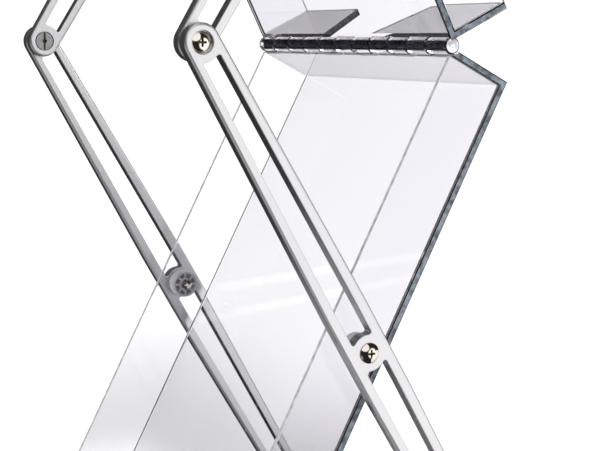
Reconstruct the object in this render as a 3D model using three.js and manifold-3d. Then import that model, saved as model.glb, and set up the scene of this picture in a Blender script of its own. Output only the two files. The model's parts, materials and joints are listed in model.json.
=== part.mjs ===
// Folding zig-zag magazine rack: four clear pockets hinged corner to corner, carried by crossed
// slotted arms on both sides, between a base panel and a top panel.
// Millimetres, +Z up, X across the rack's depth, Y across its width. The origin is on the floor
// under the middle of the base panel. The rack is modelled standing open.

import * as THREE from 'three';
import { mergeVertices } from 'three/addons/utils/BufferGeometryUtils.js';
import Module from 'manifold-3d';

const wasm = await Module();
wasm.setup();

// ---- Driving dimensions ------------------------------------------------------------------------

const GAP = 0.3; // air left between pieces that meet

// Magazines and the pockets that hold them
const PAPER_WIDTH = 210;
const PAPER_HEIGHT = 297;
const PAPER_SIDE_ROOM = 8;
const PAPER_END_ROOM = 17.6;
const POCKET_ROOM = 34.5; // clear depth from the open front to the back sheet
const SHEET = 4; // clear sheet of the back, the top leg and the ledge
const WALL = 3; // clear sheet of the side walls
const NOTCH_BACK = 57; // finger notch in the ledge, width at the back sheet
const NOTCH_FRONT = 85; // and at the open front

// Corner hinges
const KNUCKLES = 11; // on both leaves together
const KNUCKLE_RADIUS = 4.7;
const KNUCKLE_END_GAP = 0.5;
const KNUCKLE_TURNING_GAP = 0.5;
const PIN_RADIUS = 0.9;
const PIN_END_INSET = 4.5; // the pins stop short of the outer knuckles' faces
const AXIS_OFF_TOP = 1; // from the top leg's outer face out to the hinge axis
const AXIS_OFF_FRONT = 1.2; // from the open front out to the same axis
const AXIS_OFF_LEDGE = 2.4; // from the ledge's outer face out to the lower hinge axis
const AXIS_OFF_BACK = 0.3; // from the back sheet's outer face out to the same axis

// How far the pieces lean from upright when the rack stands open
const STAGES = 4;
const POCKET_LEAN = THREE.MathUtils.degToRad(26.8);
const ARM_LEAN = THREE.MathUtils.degToRad(30.8);

// Slotted arms
const ARM_THICKNESS = 7;
const ARM_END_RADIUS = 9.3;
const ARM_MIDDLE_HALF_WIDTH = 12.3;
const ARM_PARALLEL_HALF_LENGTH = 26; // the arm tapers outside this stretch
const SLOT_END_HALF_WIDTH = 4.8;
const SLOT_MIDDLE_HALF_WIDTH = 6.3;
const EYE_RADIUS = 9.7; // solid metal left around each pivot, inside the slots
const SLOT_FILLET = 1.2;
const LAYER_GAP = 0.6; // between the inner and the outer arms
const INNER_ARM_GAP = 1.2; // between the pocket wall and the inner arms

// Pivot hardware
const SHANK_RADIUS = 3;
const SHANK_CLEARANCE = 0.35;
const SHANK_TIP_RADIUS = 2.1;
const SHANK_TIP_LENGTH = 0.8;
const DRIVE_DEPTH = 1.3; // cross recess in the screw heads
const DRIVE_LENGTH = 3.6;
const DRIVE_WIDTH = 1;
const PAN_HEAD_RADIUS = 5.3;
const PAN_HEAD_HEIGHT = 2.2;
const ELBOW_HEAD_RADIUS = 5.3;
const ELBOW_HEAD_HEIGHT = 1.9;
const ELBOW_RECESS_DEPTH = 2.2;
const NUT_SLOT_WIDTH = 1.2;
const NUT_SLOT_DEPTH = 1;
const SPACER_RADIUS = 8.2;
const SPACER_RIM = 1.5;
const SPACER_HUB_RADIUS = 4.2;
const SPACER_RIBS = 8;
const SPACER_RIB = 1.1;
const SPACER_FLOOR = 2;
const ROLLER_RADIUS = 11;
const ROLLER_WIDTH = 7.6;

// Base and top panels
const PANEL_THICKNESS = 5;
const PANEL_END_MARGIN = 2; // past the arms, open at one end and folded at the other
const PANEL_SIDE_MARGIN = 3; // past the guide ribs
const PANEL_CORNER = 14;
const RIB = 2;
const RIB_HEIGHT = 9;
const RIB_SIDE_GAP = 1; // between a guide rib and what runs beside it
const HINGE_BAR = 7; // thickness of the bar that carries a panel's knuckles
const FOOT_HEIGHT = 6;
const FOOT_WIDTH = 18;
const FOOT_INSET = 12;
const FOOT_CORNER = 8;

// Flat sides that stand for a round one
const KNUCKLE_SIDES = 8;
const PIN_BORE_SIDES = 6;
const BORE_SIDES = 12;
const HEAD_SIDES = 12;
const WHEEL_SIDES = 20;
const ARM_END_STEPS = 10;
const DOME_STEPS = 3;
const FILLET_STEPS = 2;
const CORNER_STEPS = 5;

// ---- Worked-out sizes and places ---------------------------------------------------------------

const POCKET_WIDTH = PAPER_WIDTH + PAPER_SIDE_ROOM + 2 * WALL;
const POCKET_HEIGHT = PAPER_HEIGHT + PAPER_END_ROOM + 2 * SHEET;
const POCKET_DEPTH = POCKET_ROOM + SHEET;
const AXIS_SPAN = POCKET_HEIGHT + AXIS_OFF_TOP + AXIS_OFF_LEDGE;
const AXIS_STEP = POCKET_DEPTH + AXIS_OFF_FRONT + AXIS_OFF_BACK; // also the folded height of a stage

// In a pocket's own frame X runs from the open front to the back and Z up the pocket, and the
// origin is the side pivot, half way between the two hinge axes.
const FRONT = -AXIS_STEP / 2 + AXIS_OFF_FRONT;
const BACK = AXIS_STEP / 2 - AXIS_OFF_BACK;
const BOTTOM = -AXIS_SPAN / 2 + AXIS_OFF_LEDGE;
const TOP = AXIS_SPAN / 2 - AXIS_OFF_TOP;
const UPPER_AXIS = new THREE.Vector2(-AXIS_STEP / 2, AXIS_SPAN / 2);
const LOWER_AXIS = new THREE.Vector2(AXIS_STEP / 2, -AXIS_SPAN / 2);
const KNUCKLE_PITCH = POCKET_WIDTH / KNUCKLES;

const STAGE_HEIGHT = AXIS_SPAN * Math.cos(POCKET_LEAN) + AXIS_STEP * Math.sin(POCKET_LEAN);
const STAGE_REACH = AXIS_SPAN * Math.sin(POCKET_LEAN) - AXIS_STEP * Math.cos(POCKET_LEAN);
const ARM_LENGTH = STAGE_HEIGHT / Math.cos(ARM_LEAN); // pivot to pivot
const ARM_REACH = (ARM_LENGTH / 2) * Math.sin(ARM_LEAN);
const FOLDED_ARM_REACH = Math.sqrt(ARM_LENGTH ** 2 - AXIS_STEP ** 2) / 2;

const INNER_ARM_FACE = POCKET_WIDTH / 2 + INNER_ARM_GAP;
const OUTER_ARM_FACE = INNER_ARM_FACE + ARM_THICKNESS + LAYER_GAP;
const ARMS_OUTSIDE = OUTER_ARM_FACE + ARM_THICKNESS;

// How far the arms reach from the middle of the folded pockets: open towards -X, folded towards +X
const OPEN_REACH = (AXIS_SPAN - STAGE_REACH) / 2 + ARM_REACH + ARM_END_RADIUS;
const FOLDED_REACH = FOLDED_ARM_REACH + ROLLER_RADIUS + 2 * GAP + RIB;
const PANEL_LENGTH = OPEN_REACH + FOLDED_REACH + 2 * PANEL_END_MARGIN;
const OUTER_RIB_FACE = ARMS_OUTSIDE + RIB_SIDE_GAP;
const PANEL_WIDTH = 2 * (OUTER_RIB_FACE + RIB + PANEL_SIDE_MARGIN);
const INNER_RIB_FACE = POCKET_WIDTH / 2 - RIB_SIDE_GAP;
const AXIS_OVER_PANEL = ROLLER_RADIUS + GAP;
const BASE_AXIS_HEIGHT = FOOT_HEIGHT + GAP + PANEL_THICKNESS + AXIS_OVER_PANEL;

// The base hinge stands where the arms keep the same margin at both ends of the panel
const HINGE_X = (OPEN_REACH - FOLDED_REACH - AXIS_SPAN) / 2;
const FOLDED_PIVOT_X = HINGE_X + AXIS_SPAN / 2;
const PIVOT_X = HINGE_X + STAGE_REACH / 2;
const SIDES = [['near', -1], ['far', 1]];

// ---- Materials ---------------------------------------------------------------------------------

const material = (color, roughness, metalness) =>
  new THREE.MeshStandardMaterial({ color, roughness, metalness });

const anodised = () => material(0xc9c9cc, 0.36, 1);
const acrylic = () => material(0xe8eef2, 0.05, 0);
const nickel = () => material(0xd8d0c2, 0.18, 1);
const steel = () => material(0x6f6f74, 0.25, 1);
const zinc = () => material(0x8d8f92, 0.45, 1);
const greyPlastic = () => material(0xa2a2a8, 0.4, 0);
const rubber = () => material(0x2b2b2d, 0.8, 0);

// ---- Solids ------------------------------------------------------------------------------------

function toSolid(geometry) {
  const bare = geometry.clone();
  bare.deleteAttribute('normal');
  bare.deleteAttribute('uv');
  const merged = mergeVertices(bare, 1e-4);
  return new wasm.Manifold(new wasm.Mesh({
    numProp: 3,
    vertProperties: new Float32Array(merged.attributes.position.array),
    triVerts: new Uint32Array(merged.index.array),
  }));
}

function toGeometry(solid) {
  const { vertProperties, triVerts } = solid.getMesh();
  const geometry = new THREE.BufferGeometry();
  geometry.setAttribute('position', new THREE.BufferAttribute(vertProperties, 3));
  geometry.setIndex(new THREE.BufferAttribute(triVerts, 1));
  geometry.computeVertexNormals();
  return geometry;
}

const join = (...geometries) =>
  toGeometry(geometries.map(toSolid).reduce((whole, next) => whole.add(next)));

const cut = (body, ...tools) =>
  toGeometry(tools.map(toSolid).reduce((rest, tool) => rest.subtract(tool), toSolid(body)));

// An outline in X and Z, extruded between two places along Y
function alongY(shape, from, to) {
  const options = { depth: to - from, bevelEnabled: false };
  return new THREE.ExtrudeGeometry(shape, options).rotateX(Math.PI / 2).translate(0, to, 0);
}

// An outline in X and Y, extruded between two heights
function alongZ(shape, from, to) {
  const options = { depth: to - from, bevelEnabled: false };
  return new THREE.ExtrudeGeometry(shape, options).translate(0, 0, from);
}

function box(x0, x1, y0, y1, z0, z1) {
  return new THREE.BoxGeometry(x1 - x0, y1 - y0, z1 - z0)
    .translate((x0 + x1) / 2, (y0 + y1) / 2, (z0 + z1) / 2);
}

function rodAlongY(radius, from, to, sides, x = 0, z = 0) {
  return new THREE.CylinderGeometry(radius, radius, to - from, sides).translate(x, (from + to) / 2, z);
}

// A turned piece on the Y axis: the profile lists [radius, y] pairs from axis to axis
function turned(profile, sides) {
  const points = profile.map(([radius, y]) => new THREE.Vector2(radius, y));
  return new THREE.LatheGeometry(points, sides);
}

function arc(centreX, centreY, radius, from, to, steps) {
  return Array.from({ length: steps + 1 }, (_, i) => {
    const angle = from + ((to - from) * i) / steps;
    return new THREE.Vector2(centreX + radius * Math.cos(angle), centreY + radius * Math.sin(angle));
  });
}

const rectangle = (x0, x1, y0, y1) =>
  new THREE.Shape([[x0, y0], [x1, y0], [x1, y1], [x0, y1]].map(([x, y]) => new THREE.Vector2(x, y)));

function roundedRectangle(length, width, radius) {
  const x = length / 2 - radius;
  const y = width / 2 - radius;
  const corners = [[x, y], [-x, y], [-x, -y], [x, -y]];
  return new THREE.Shape(corners.flatMap(([cx, cy], i) =>
    arc(cx, cy, radius, (i * Math.PI) / 2, ((i + 1) * Math.PI) / 2, CORNER_STEPS)));
}

// ---- Knuckles ----------------------------------------------------------------------------------

// The Y range of every knuckle of one leaf: the even ones carry the piece above the hinge, the odd
// ones the piece below it
function knuckleRanges(parity) {
  const ranges = [];
  for (let i = parity; i < KNUCKLES; i += 2) {
    const start = -POCKET_WIDTH / 2 + i * KNUCKLE_PITCH;
    ranges.push([start, start + KNUCKLE_PITCH]);
  }
  return ranges;
}

const EVEN = knuckleRanges(0);
const ODD = knuckleRanges(1);

// The end knuckles finish flush with the pocket, the others leave half a gap at each end
function knuckleBarrels(ranges, axis, radius = KNUCKLE_RADIUS, gap = KNUCKLE_END_GAP) {
  return ranges.map(([from, to]) => {
    const start = from <= -POCKET_WIDTH / 2 ? from : from + gap / 2;
    const end = to >= POCKET_WIDTH / 2 - 1e-6 ? to : to - gap / 2;
    return rodAlongY(radius, start, end, KNUCKLE_SIDES, axis.x, axis.y);
  });
}

// The radius of a many-sided bore whose flats clear a round piece of the given radius
const clearing = (radius, sides) => radius / Math.cos(Math.PI / sides);

// Room in one leaf for the barrels of the other
const knuckleRoom = (ranges, axis) =>
  knuckleBarrels(ranges, axis, clearing(KNUCKLE_RADIUS + KNUCKLE_TURNING_GAP, KNUCKLE_SIDES), 0);

const pinBore = (axis) => rodAlongY(
  clearing(PIN_RADIUS + GAP, PIN_BORE_SIDES), -POCKET_WIDTH, POCKET_WIDTH, PIN_BORE_SIDES, axis.x, axis.y);

// ---- Pocket ------------------------------------------------------------------------------------

// One clear sheet: top leg, back and ledge, with half of each corner hinge
function pocketSheet() {
  const inner = BACK - SHEET;
  const outline = new THREE.Shape([
    [FRONT, TOP], [FRONT, TOP - SHEET], [inner, TOP - SHEET], [inner, BOTTOM + SHEET],
    [FRONT, BOTTOM + SHEET], [FRONT, BOTTOM], [BACK, BOTTOM], [BACK, TOP],
  ].map(([x, z]) => new THREE.Vector2(x, z)));
  const notch = new THREE.Shape([
    new THREE.Vector2(inner, -NOTCH_BACK / 2),
    new THREE.Vector2(inner, NOTCH_BACK / 2),
    new THREE.Vector2(FRONT - 1, NOTCH_FRONT / 2),
    new THREE.Vector2(FRONT - 1, -NOTCH_FRONT / 2),
  ]);
  const sheet = cut(
    alongY(outline, -POCKET_WIDTH / 2, POCKET_WIDTH / 2),
    alongZ(notch, BOTTOM - 1, BOTTOM + SHEET + 1),
    ...knuckleRoom(EVEN, UPPER_AXIS),
    ...knuckleRoom(ODD, LOWER_AXIS),
  );
  const hinged = join(sheet, ...knuckleBarrels(ODD, UPPER_AXIS), ...knuckleBarrels(EVEN, LOWER_AXIS));
  return cut(hinged, pinBore(UPPER_AXIS), pinBore(LOWER_AXIS));
}

// A side wall, let in between the top leg and the ledge, with the pivot hole in its middle
function pocketWall(side) {
  const outside = (side * POCKET_WIDTH) / 2;
  const inside = outside - side * WALL;
  const outline = rectangle(FRONT, BACK - SHEET - GAP, BOTTOM + SHEET + GAP, TOP - SHEET - GAP);
  const hole = new THREE.Path(arc(0, 0, SHANK_RADIUS + SHANK_CLEARANCE, 0, 2 * Math.PI, BORE_SIDES).slice(1));
  outline.holes.push(hole);
  return alongY(outline, Math.min(inside, outside), Math.max(inside, outside));
}

// ---- Arm ---------------------------------------------------------------------------------------

// Where a line from a point outside a circle on the Y axis touches the circle's right-hand side
function tangentAngle(x, y, centreY, radius) {
  const distance = Math.hypot(x, centreY - y);
  return Math.atan2(y - centreY, x) + Math.acos(radius / distance);
}

// The outline of the whole arm, which lies along Y here
function armOutline() {
  const half = ARM_LENGTH / 2;
  const touch = tangentAngle(ARM_MIDDLE_HALF_WIDTH, ARM_PARALLEL_HALF_LENGTH, half, ARM_END_RADIUS);
  const right = new THREE.Vector2(ARM_MIDDLE_HALF_WIDTH, ARM_PARALLEL_HALF_LENGTH);
  const upper = [right, ...arc(0, half, ARM_END_RADIUS, touch, Math.PI - touch, ARM_END_STEPS),
    new THREE.Vector2(-right.x, right.y)];
  return [...upper, ...upper.map(({ x, y }) => new THREE.Vector2(-x, -y))];
}

// Half of a slot end: the eye's arc from the middle out to the fillet, then round onto the side.
// The side is a straight line through (x, y) that runs off in the direction of angle.
function slotCorner(centreY, away, x, y, angle) {
  const along = new THREE.Vector2(Math.cos(angle), Math.sin(angle));
  const inward = new THREE.Vector2(-along.y, along.x);
  if (inward.x > 0) inward.negate();
  const start = new THREE.Vector2(x, y - centreY).addScaledVector(inward, SLOT_FILLET);
  const reach = EYE_RADIUS + SLOT_FILLET;
  const across = start.dot(along);
  const travel = -across + away * Math.sign(along.y)
    * Math.sqrt(across ** 2 - start.lengthSq() + reach ** 2);
  const centre = start.addScaledVector(along, travel);
  const toEye = Math.atan2(centre.y, centre.x);
  const onEye = arc(0, centreY, EYE_RADIUS, away * Math.PI / 2, toEye, FILLET_STEPS);
  const sideAngle = Math.atan2(-inward.y, -inward.x);
  const back = away > 0 ? toEye - Math.PI : toEye + Math.PI;
  const fillet = arc(centre.x, centre.y + centreY, SLOT_FILLET, back, sideAngle, FILLET_STEPS);
  return [...onEye.slice(0, -1), ...fillet];
}

// The slot between the arm's middle and its upper end
function slotOutline() {
  const half = ARM_LENGTH / 2;
  const taper = Math.atan2(half - ARM_PARALLEL_HALF_LENGTH, SLOT_END_HALF_WIDTH - SLOT_MIDDLE_HALF_WIDTH);
  const lower = slotCorner(0, 1, SLOT_MIDDLE_HALF_WIDTH, 0, Math.PI / 2);
  const upper = slotCorner(half, -1, SLOT_END_HALF_WIDTH, half, taper);
  const knee = new THREE.Vector2(SLOT_MIDDLE_HALF_WIDTH, ARM_PARALLEL_HALF_LENGTH);
  const right = [...lower, knee, ...upper.reverse()];
  const left = right.slice(1, -1).reverse().map(({ x, y }) => new THREE.Vector2(-x, y));
  return [...right, ...left];
}

// recessSide: 1 sinks the end recesses into the arm's +Y face, -1 into the other
function arm(recessSide) {
  const outline = new THREE.Shape(armOutline());
  const slot = slotOutline();
  outline.holes.push(new THREE.Path(slot));
  outline.holes.push(new THREE.Path(slot.map(({ x, y }) => new THREE.Vector2(-x, -y))));
  const ends = [-ARM_LENGTH / 2, ARM_LENGTH / 2];
  for (const y of [...ends, 0]) {
    const bore = arc(0, y, SHANK_RADIUS + SHANK_CLEARANCE, 0, 2 * Math.PI, BORE_SIDES).slice(1);
    outline.holes.push(new THREE.Path(bore));
  }
  const face = (recessSide * ARM_THICKNESS) / 2;
  const floor = face - recessSide * ELBOW_RECESS_DEPTH;
  const [from, to] = [floor, face + recessSide].sort((a, b) => a - b);
  const recesses = ends.map((z) =>
    rodAlongY(ELBOW_HEAD_RADIUS + SHANK_CLEARANCE, from, to, HEAD_SIDES, 0, z));
  return cut(alongY(outline, -ARM_THICKNESS / 2, ARM_THICKNESS / 2), ...recesses);
}

// ---- Pivot hardware: each piece lies on the Y axis with its head towards +Y ---------------------

function crossDrive(headTop) {
  const arms = [[DRIVE_WIDTH, DRIVE_LENGTH], [DRIVE_LENGTH, DRIVE_WIDTH]].map(([x, z]) =>
    box(-x / 2, x / 2, headTop - DRIVE_DEPTH, headTop + 1, -z / 2, z / 2));
  return join(...arms);
}

// A domed head that rises from y = 0 on a shank that reaches down to y = -length
function screw(headRadius, headHeight, length) {
  const dome = arc(0, 0, 1, 0, Math.PI / 2, DOME_STEPS).map(({ x, y }) => [headRadius * x, headHeight * y]);
  const profile = [[0, -length], [SHANK_TIP_RADIUS, -length], [SHANK_RADIUS, -length + SHANK_TIP_LENGTH],
    [SHANK_RADIUS, 0], ...dome.slice(0, -1), [0, headHeight]];
  return cut(turned(profile, HEAD_SIDES), crossDrive(headHeight));
}

// The slotted barrel nut: a flush disc at y = 0 and a barrel down to y = -length
function barrelNut(length) {
  const rim = ELBOW_HEAD_RADIUS;
  const seat = -ELBOW_RECESS_DEPTH + GAP;
  const profile = [[0, -length], [SHANK_RADIUS, -length], [SHANK_RADIUS, seat], [rim, seat],
    [rim, 0], [0, 0]];
  const slot = box(-NUT_SLOT_WIDTH / 2, NUT_SLOT_WIDTH / 2, -NUT_SLOT_DEPTH, 1, -rim - 1, rim + 1);
  return cut(turned(profile, HEAD_SIDES), slot);
}

// The moulded spacer between a pocket wall at y = 0 and an outer arm at y = length
function ribbedSpacer(length) {
  const body = rodAlongY(SPACER_RADIUS, 0, length, WHEEL_SIDES);
  const bore = rodAlongY(SHANK_RADIUS + SHANK_CLEARANCE, -1, length + 1, BORE_SIDES);
  const ring = new THREE.Shape(arc(0, 0, SPACER_RADIUS - SPACER_RIM, 0, 2 * Math.PI, WHEEL_SIDES).slice(1));
  ring.holes.push(new THREE.Path(arc(0, 0, SPACER_HUB_RADIUS, 0, 2 * Math.PI, BORE_SIDES).slice(1)));
  const trough = toSolid(alongY(ring, -1, length - SPACER_FLOOR));
  const ribs = Array.from({ length: SPACER_RIBS / 2 }, (_, i) =>
    box(-SPACER_RADIUS, SPACER_RADIUS, -2, length, -SPACER_RIB / 2, SPACER_RIB / 2)
      .rotateY(((i + 0.5) * 2 * Math.PI) / SPACER_RIBS));
  const pockets = ribs.map(toSolid).reduce((rest, rib) => rest.subtract(rib), trough);
  return toGeometry(toSolid(cut(body, bore)).subtract(pockets));
}

// A guide roller beside an arm end: the wheel fills y = 0 to ROLLER_WIDTH, and its stub passes the
// other way, through the arm, to a flat cap in the recess
function roller() {
  const stubEnd = -ARM_THICKNESS + ELBOW_RECESS_DEPTH - 2 * GAP;
  const capEnd = -ARM_THICKNESS;
  const profile = [[0, capEnd], [ELBOW_HEAD_RADIUS, capEnd], [ELBOW_HEAD_RADIUS, stubEnd],
    [SHANK_RADIUS, stubEnd], [SHANK_RADIUS, GAP], [ROLLER_RADIUS, GAP], [ROLLER_RADIUS, ROLLER_WIDTH],
    [0, ROLLER_WIDTH]];
  return turned(profile, WHEEL_SIDES);
}

// ---- Panels ------------------------------------------------------------------------------------

// The panel lies with its inner face at z = 0 and its ribs rising, as it does in the base
function panel() {
  const plate = alongZ(roundedRectangle(PANEL_LENGTH, PANEL_WIDTH, PANEL_CORNER), -PANEL_THICKNESS, 0);
  const stop = PIVOT_X + ARM_REACH - ROLLER_RADIUS - 2 * GAP;
  const end = FOLDED_PIVOT_X + FOLDED_ARM_REACH + ROLLER_RADIUS + 2 * GAP;
  const root = -PANEL_THICKNESS / 2;
  const ribs = [-1, 1].flatMap((side) => {
    const y = (from, to) => [side * from, side * to].sort((a, b) => a - b);
    return [
      box(stop - RIB, end + RIB, ...y(INNER_RIB_FACE - RIB, INNER_RIB_FACE), root, RIB_HEIGHT),
      box(stop - RIB, end + RIB, ...y(OUTER_RIB_FACE, OUTER_RIB_FACE + RIB), root, RIB_HEIGHT),
      box(stop - RIB, stop, ...y(INNER_RIB_FACE - 1, OUTER_RIB_FACE + 1), root, RIB_HEIGHT),
      box(end, end + RIB, ...y(INNER_RIB_FACE - 1, OUTER_RIB_FACE + 1), root, RIB_HEIGHT),
    ];
  });
  return join(plate, ...ribs);
}

// The bar on a panel that carries its half of the hinge. Its foot is at z = 0 and the hinge axis
// over it at AXIS_OVER_PANEL.
function hingeBar(ownRanges, otherRanges) {
  const axis = new THREE.Vector2(0, AXIS_OVER_PANEL);
  const half = HINGE_BAR / 2;
  const bar = box(-half, half, -POCKET_WIDTH / 2, POCKET_WIDTH / 2, GAP, AXIS_OVER_PANEL);
  const tall = KNUCKLE_RADIUS + KNUCKLE_TURNING_GAP;
  const rooms = otherRanges.map(([from, to]) =>
    box(-half - 1, half + 1, from, to, AXIS_OVER_PANEL - tall, AXIS_OVER_PANEL + 1));
  const carried = join(cut(bar, ...rooms), ...knuckleBarrels(ownRanges, axis));
  return cut(carried, pinBore(axis));
}

// ---- Assembly ----------------------------------------------------------------------------------

const rack = new THREE.Group();

function add(parent, name, geometry, finish) {
  const mesh = new THREE.Mesh(geometry, finish);
  mesh.name = name;
  parent.add(mesh);
  return mesh;
}

function frameAt(x, z, lean, turn = 0) {
  const outer = new THREE.Group();
  outer.position.set(x, 0, z);
  outer.rotation.y = lean;
  const inner = new THREE.Group();
  inner.rotation.z = turn;
  outer.add(inner);
  rack.add(outer);
  return inner;
}

const hingeHeight = (level) => BASE_AXIS_HEIGHT + level * STAGE_HEIGHT;
const hingeX = (level) => (level % 2 === 0 ? HINGE_X : HINGE_X + STAGE_REACH);

function buildPin(level) {
  const name = level === 0 ? 'base_hinge_pin' : level === STAGES ? 'top_hinge_pin' : `hinge_pin_${level}`;
  const half = POCKET_WIDTH / 2 - PIN_END_INSET;
  const pin = add(rack, name, rodAlongY(PIN_RADIUS, -half, half, BORE_SIDES), steel());
  pin.position.set(hingeX(level), 0, hingeHeight(level));
}

function buildPocket(stage) {
  const even = stage % 2 === 0;
  const number = stage + 1;
  const frame = frameAt(PIVOT_X, hingeHeight(stage + 0.5), even ? POCKET_LEAN : -POCKET_LEAN,
    even ? 0 : Math.PI);
  add(frame, `pocket_sheet_${number}`, pocketSheet(), acrylic());
  for (const [label, side] of SIDES) {
    add(frame, `pocket_wall_${number}_${label}`, pocketWall(even ? side : -side), acrylic());
  }
}

function buildArms(stage) {
  const even = stage % 2 === 0;
  const number = stage + 1;
  const face = even ? OUTER_ARM_FACE : INNER_ARM_FACE;
  const frame = frameAt(PIVOT_X, hingeHeight(stage + 0.5), even ? -ARM_LEAN : ARM_LEAN);
  for (const [label, side] of SIDES) {
    const mesh = add(frame, `arm_${number}_${label}`, arm(even ? side : -side), anodised());
    mesh.position.y = side * (face + ARM_THICKNESS / 2);
    const pivot = new THREE.Group();
    pivot.rotation.z = side > 0 ? 0 : Math.PI;
    frame.add(pivot);
    const reach = face + ARM_THICKNESS - (POCKET_WIDTH / 2 - WALL);
    const head = add(pivot, `pivot_screw_${number}_${label}`,
      screw(PAN_HEAD_RADIUS, PAN_HEAD_HEIGHT, reach + GAP), nickel());
    head.position.y = face + ARM_THICKNESS + GAP;
    if (even) {
      const spacer = add(pivot, `pivot_spacer_${number}_${label}`,
        ribbedSpacer(OUTER_ARM_FACE - POCKET_WIDTH / 2 - 2 * GAP), greyPlastic());
      spacer.position.y = POCKET_WIDTH / 2 + GAP;
    }
  }
}

// The elbow between two stages: a screw in the outer arm and a barrel nut in the inner arm
function buildElbow(level) {
  const lowerIsEven = (level - 1) % 2 === 0;
  const x = PIVOT_X + (lowerIsEven ? -ARM_REACH : ARM_REACH);
  for (const [label, side] of SIDES) {
    const pivot = new THREE.Group();
    pivot.position.set(x, 0, hingeHeight(level));
    pivot.rotation.z = side > 0 ? 0 : Math.PI;
    rack.add(pivot);
    const seat = ARMS_OUTSIDE - ELBOW_RECESS_DEPTH + GAP;
    const bolt = add(pivot, `elbow_screw_${level}_${label}`,
      screw(ELBOW_HEAD_RADIUS, ELBOW_HEAD_HEIGHT, seat - OUTER_ARM_FACE), nickel());
    bolt.position.y = seat;
    const nut = add(pivot, `elbow_nut_${level}_${label}`, barrelNut(ARM_THICKNESS), zinc());
    nut.rotation.z = Math.PI;
    nut.position.y = INNER_ARM_FACE;
  }
}

// The rollers at the free ends of the lowest and the highest arms
function buildRollers(name, x, z, inward, face) {
  for (const [label, side] of SIDES) {
    const pivot = new THREE.Group();
    pivot.position.set(x, 0, z);
    pivot.rotation.z = side > 0 ? 0 : Math.PI;
    rack.add(pivot);
    const wheel = add(pivot, `${name}_${label}`, roller(), greyPlastic());
    wheel.rotation.z = inward ? Math.PI : 0;
    wheel.position.y = face;
  }
}

function buildBase() {
  const bottom = new THREE.Group();
  bottom.position.z = FOOT_HEIGHT + GAP + PANEL_THICKNESS;
  rack.add(bottom);
  add(bottom, 'base_panel', panel(), anodised());
  add(bottom, 'base_hinge_bar', hingeBar(ODD, EVEN), anodised()).position.x = HINGE_X;
  const footX = PANEL_LENGTH / 2 - FOOT_INSET - FOOT_WIDTH / 2;
  const foot = roundedRectangle(FOOT_WIDTH, PANEL_WIDTH - 2 * FOOT_INSET, FOOT_CORNER);
  for (const [label, side] of [['left', -1], ['right', 1]]) {
    add(rack, `foot_strip_${label}`, alongZ(foot, 0, FOOT_HEIGHT), rubber()).position.x = side * footX;
  }
}

function buildTop() {
  const lid = new THREE.Group();
  lid.position.z = hingeHeight(STAGES) + AXIS_OVER_PANEL;
  lid.rotation.x = Math.PI;
  rack.add(lid);
  add(lid, 'top_panel', panel(), anodised());
  add(lid, 'top_hinge_bar', hingeBar(EVEN, ODD), anodised()).position.x = HINGE_X;
}

buildBase();
for (let stage = 0; stage < STAGES; stage += 1) {
  buildPocket(stage);
  buildArms(stage);
}
for (let level = 0; level <= STAGES; level += 1) buildPin(level);
for (let level = 1; level < STAGES; level += 1) buildElbow(level);
buildRollers('base_roller', PIVOT_X + ARM_REACH, hingeHeight(0), true, OUTER_ARM_FACE);
buildRollers('top_roller', PIVOT_X + ARM_REACH, hingeHeight(STAGES), false, INNER_ARM_FACE + ARM_THICKNESS);
buildTop();

export default rack;
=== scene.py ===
"""Folding zig-zag magazine rack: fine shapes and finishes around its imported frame.

Everything is in metres, +Z up, with X across the rack's depth and Y across its width. Places come
from the frame's hinge axes and boxes, and sizes from the dataclasses below.
"""

from __future__ import annotations

import json
import logging
import math
from dataclasses import dataclass, field
from enum import Enum
from typing import Iterable, Sequence

import bmesh
import bpy
from mathutils import Euler, Matrix, Vector
from mathutils.geometry import tessellate_polygon


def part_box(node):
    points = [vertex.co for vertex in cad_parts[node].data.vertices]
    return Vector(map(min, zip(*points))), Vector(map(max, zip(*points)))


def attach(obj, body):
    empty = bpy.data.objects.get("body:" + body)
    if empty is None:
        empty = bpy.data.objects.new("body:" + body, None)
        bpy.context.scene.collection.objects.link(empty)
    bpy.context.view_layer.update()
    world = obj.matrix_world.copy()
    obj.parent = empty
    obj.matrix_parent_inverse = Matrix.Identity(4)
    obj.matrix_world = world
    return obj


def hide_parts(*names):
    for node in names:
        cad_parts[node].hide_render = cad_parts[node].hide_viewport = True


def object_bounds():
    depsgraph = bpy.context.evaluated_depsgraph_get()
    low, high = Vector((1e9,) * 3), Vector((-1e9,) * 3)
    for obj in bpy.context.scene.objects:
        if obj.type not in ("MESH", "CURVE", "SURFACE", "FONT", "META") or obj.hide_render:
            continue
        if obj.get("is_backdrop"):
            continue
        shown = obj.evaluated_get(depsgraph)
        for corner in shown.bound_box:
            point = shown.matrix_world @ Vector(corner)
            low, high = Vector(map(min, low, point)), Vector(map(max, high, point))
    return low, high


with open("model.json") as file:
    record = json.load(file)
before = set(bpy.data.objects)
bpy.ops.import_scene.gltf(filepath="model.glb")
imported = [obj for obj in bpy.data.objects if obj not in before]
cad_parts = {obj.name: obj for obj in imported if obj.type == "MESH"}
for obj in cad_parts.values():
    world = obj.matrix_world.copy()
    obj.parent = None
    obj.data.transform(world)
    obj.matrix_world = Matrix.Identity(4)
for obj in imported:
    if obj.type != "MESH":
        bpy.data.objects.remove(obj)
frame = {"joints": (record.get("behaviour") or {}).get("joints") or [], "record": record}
CAD_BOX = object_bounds()
RECORD = frame["record"]
LOG = logging.getLogger("magazine_rack")

MM = 0.001
Point = tuple[float, float]
Loop = list[Point]
Mesh = bpy.types.Mesh
Object = bpy.types.Object
Material = bpy.types.Material
NodeTree = bpy.types.NodeTree
Node = bpy.types.Node
Socket = bpy.types.NodeSocket
Colour = tuple[float, float, float]

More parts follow.
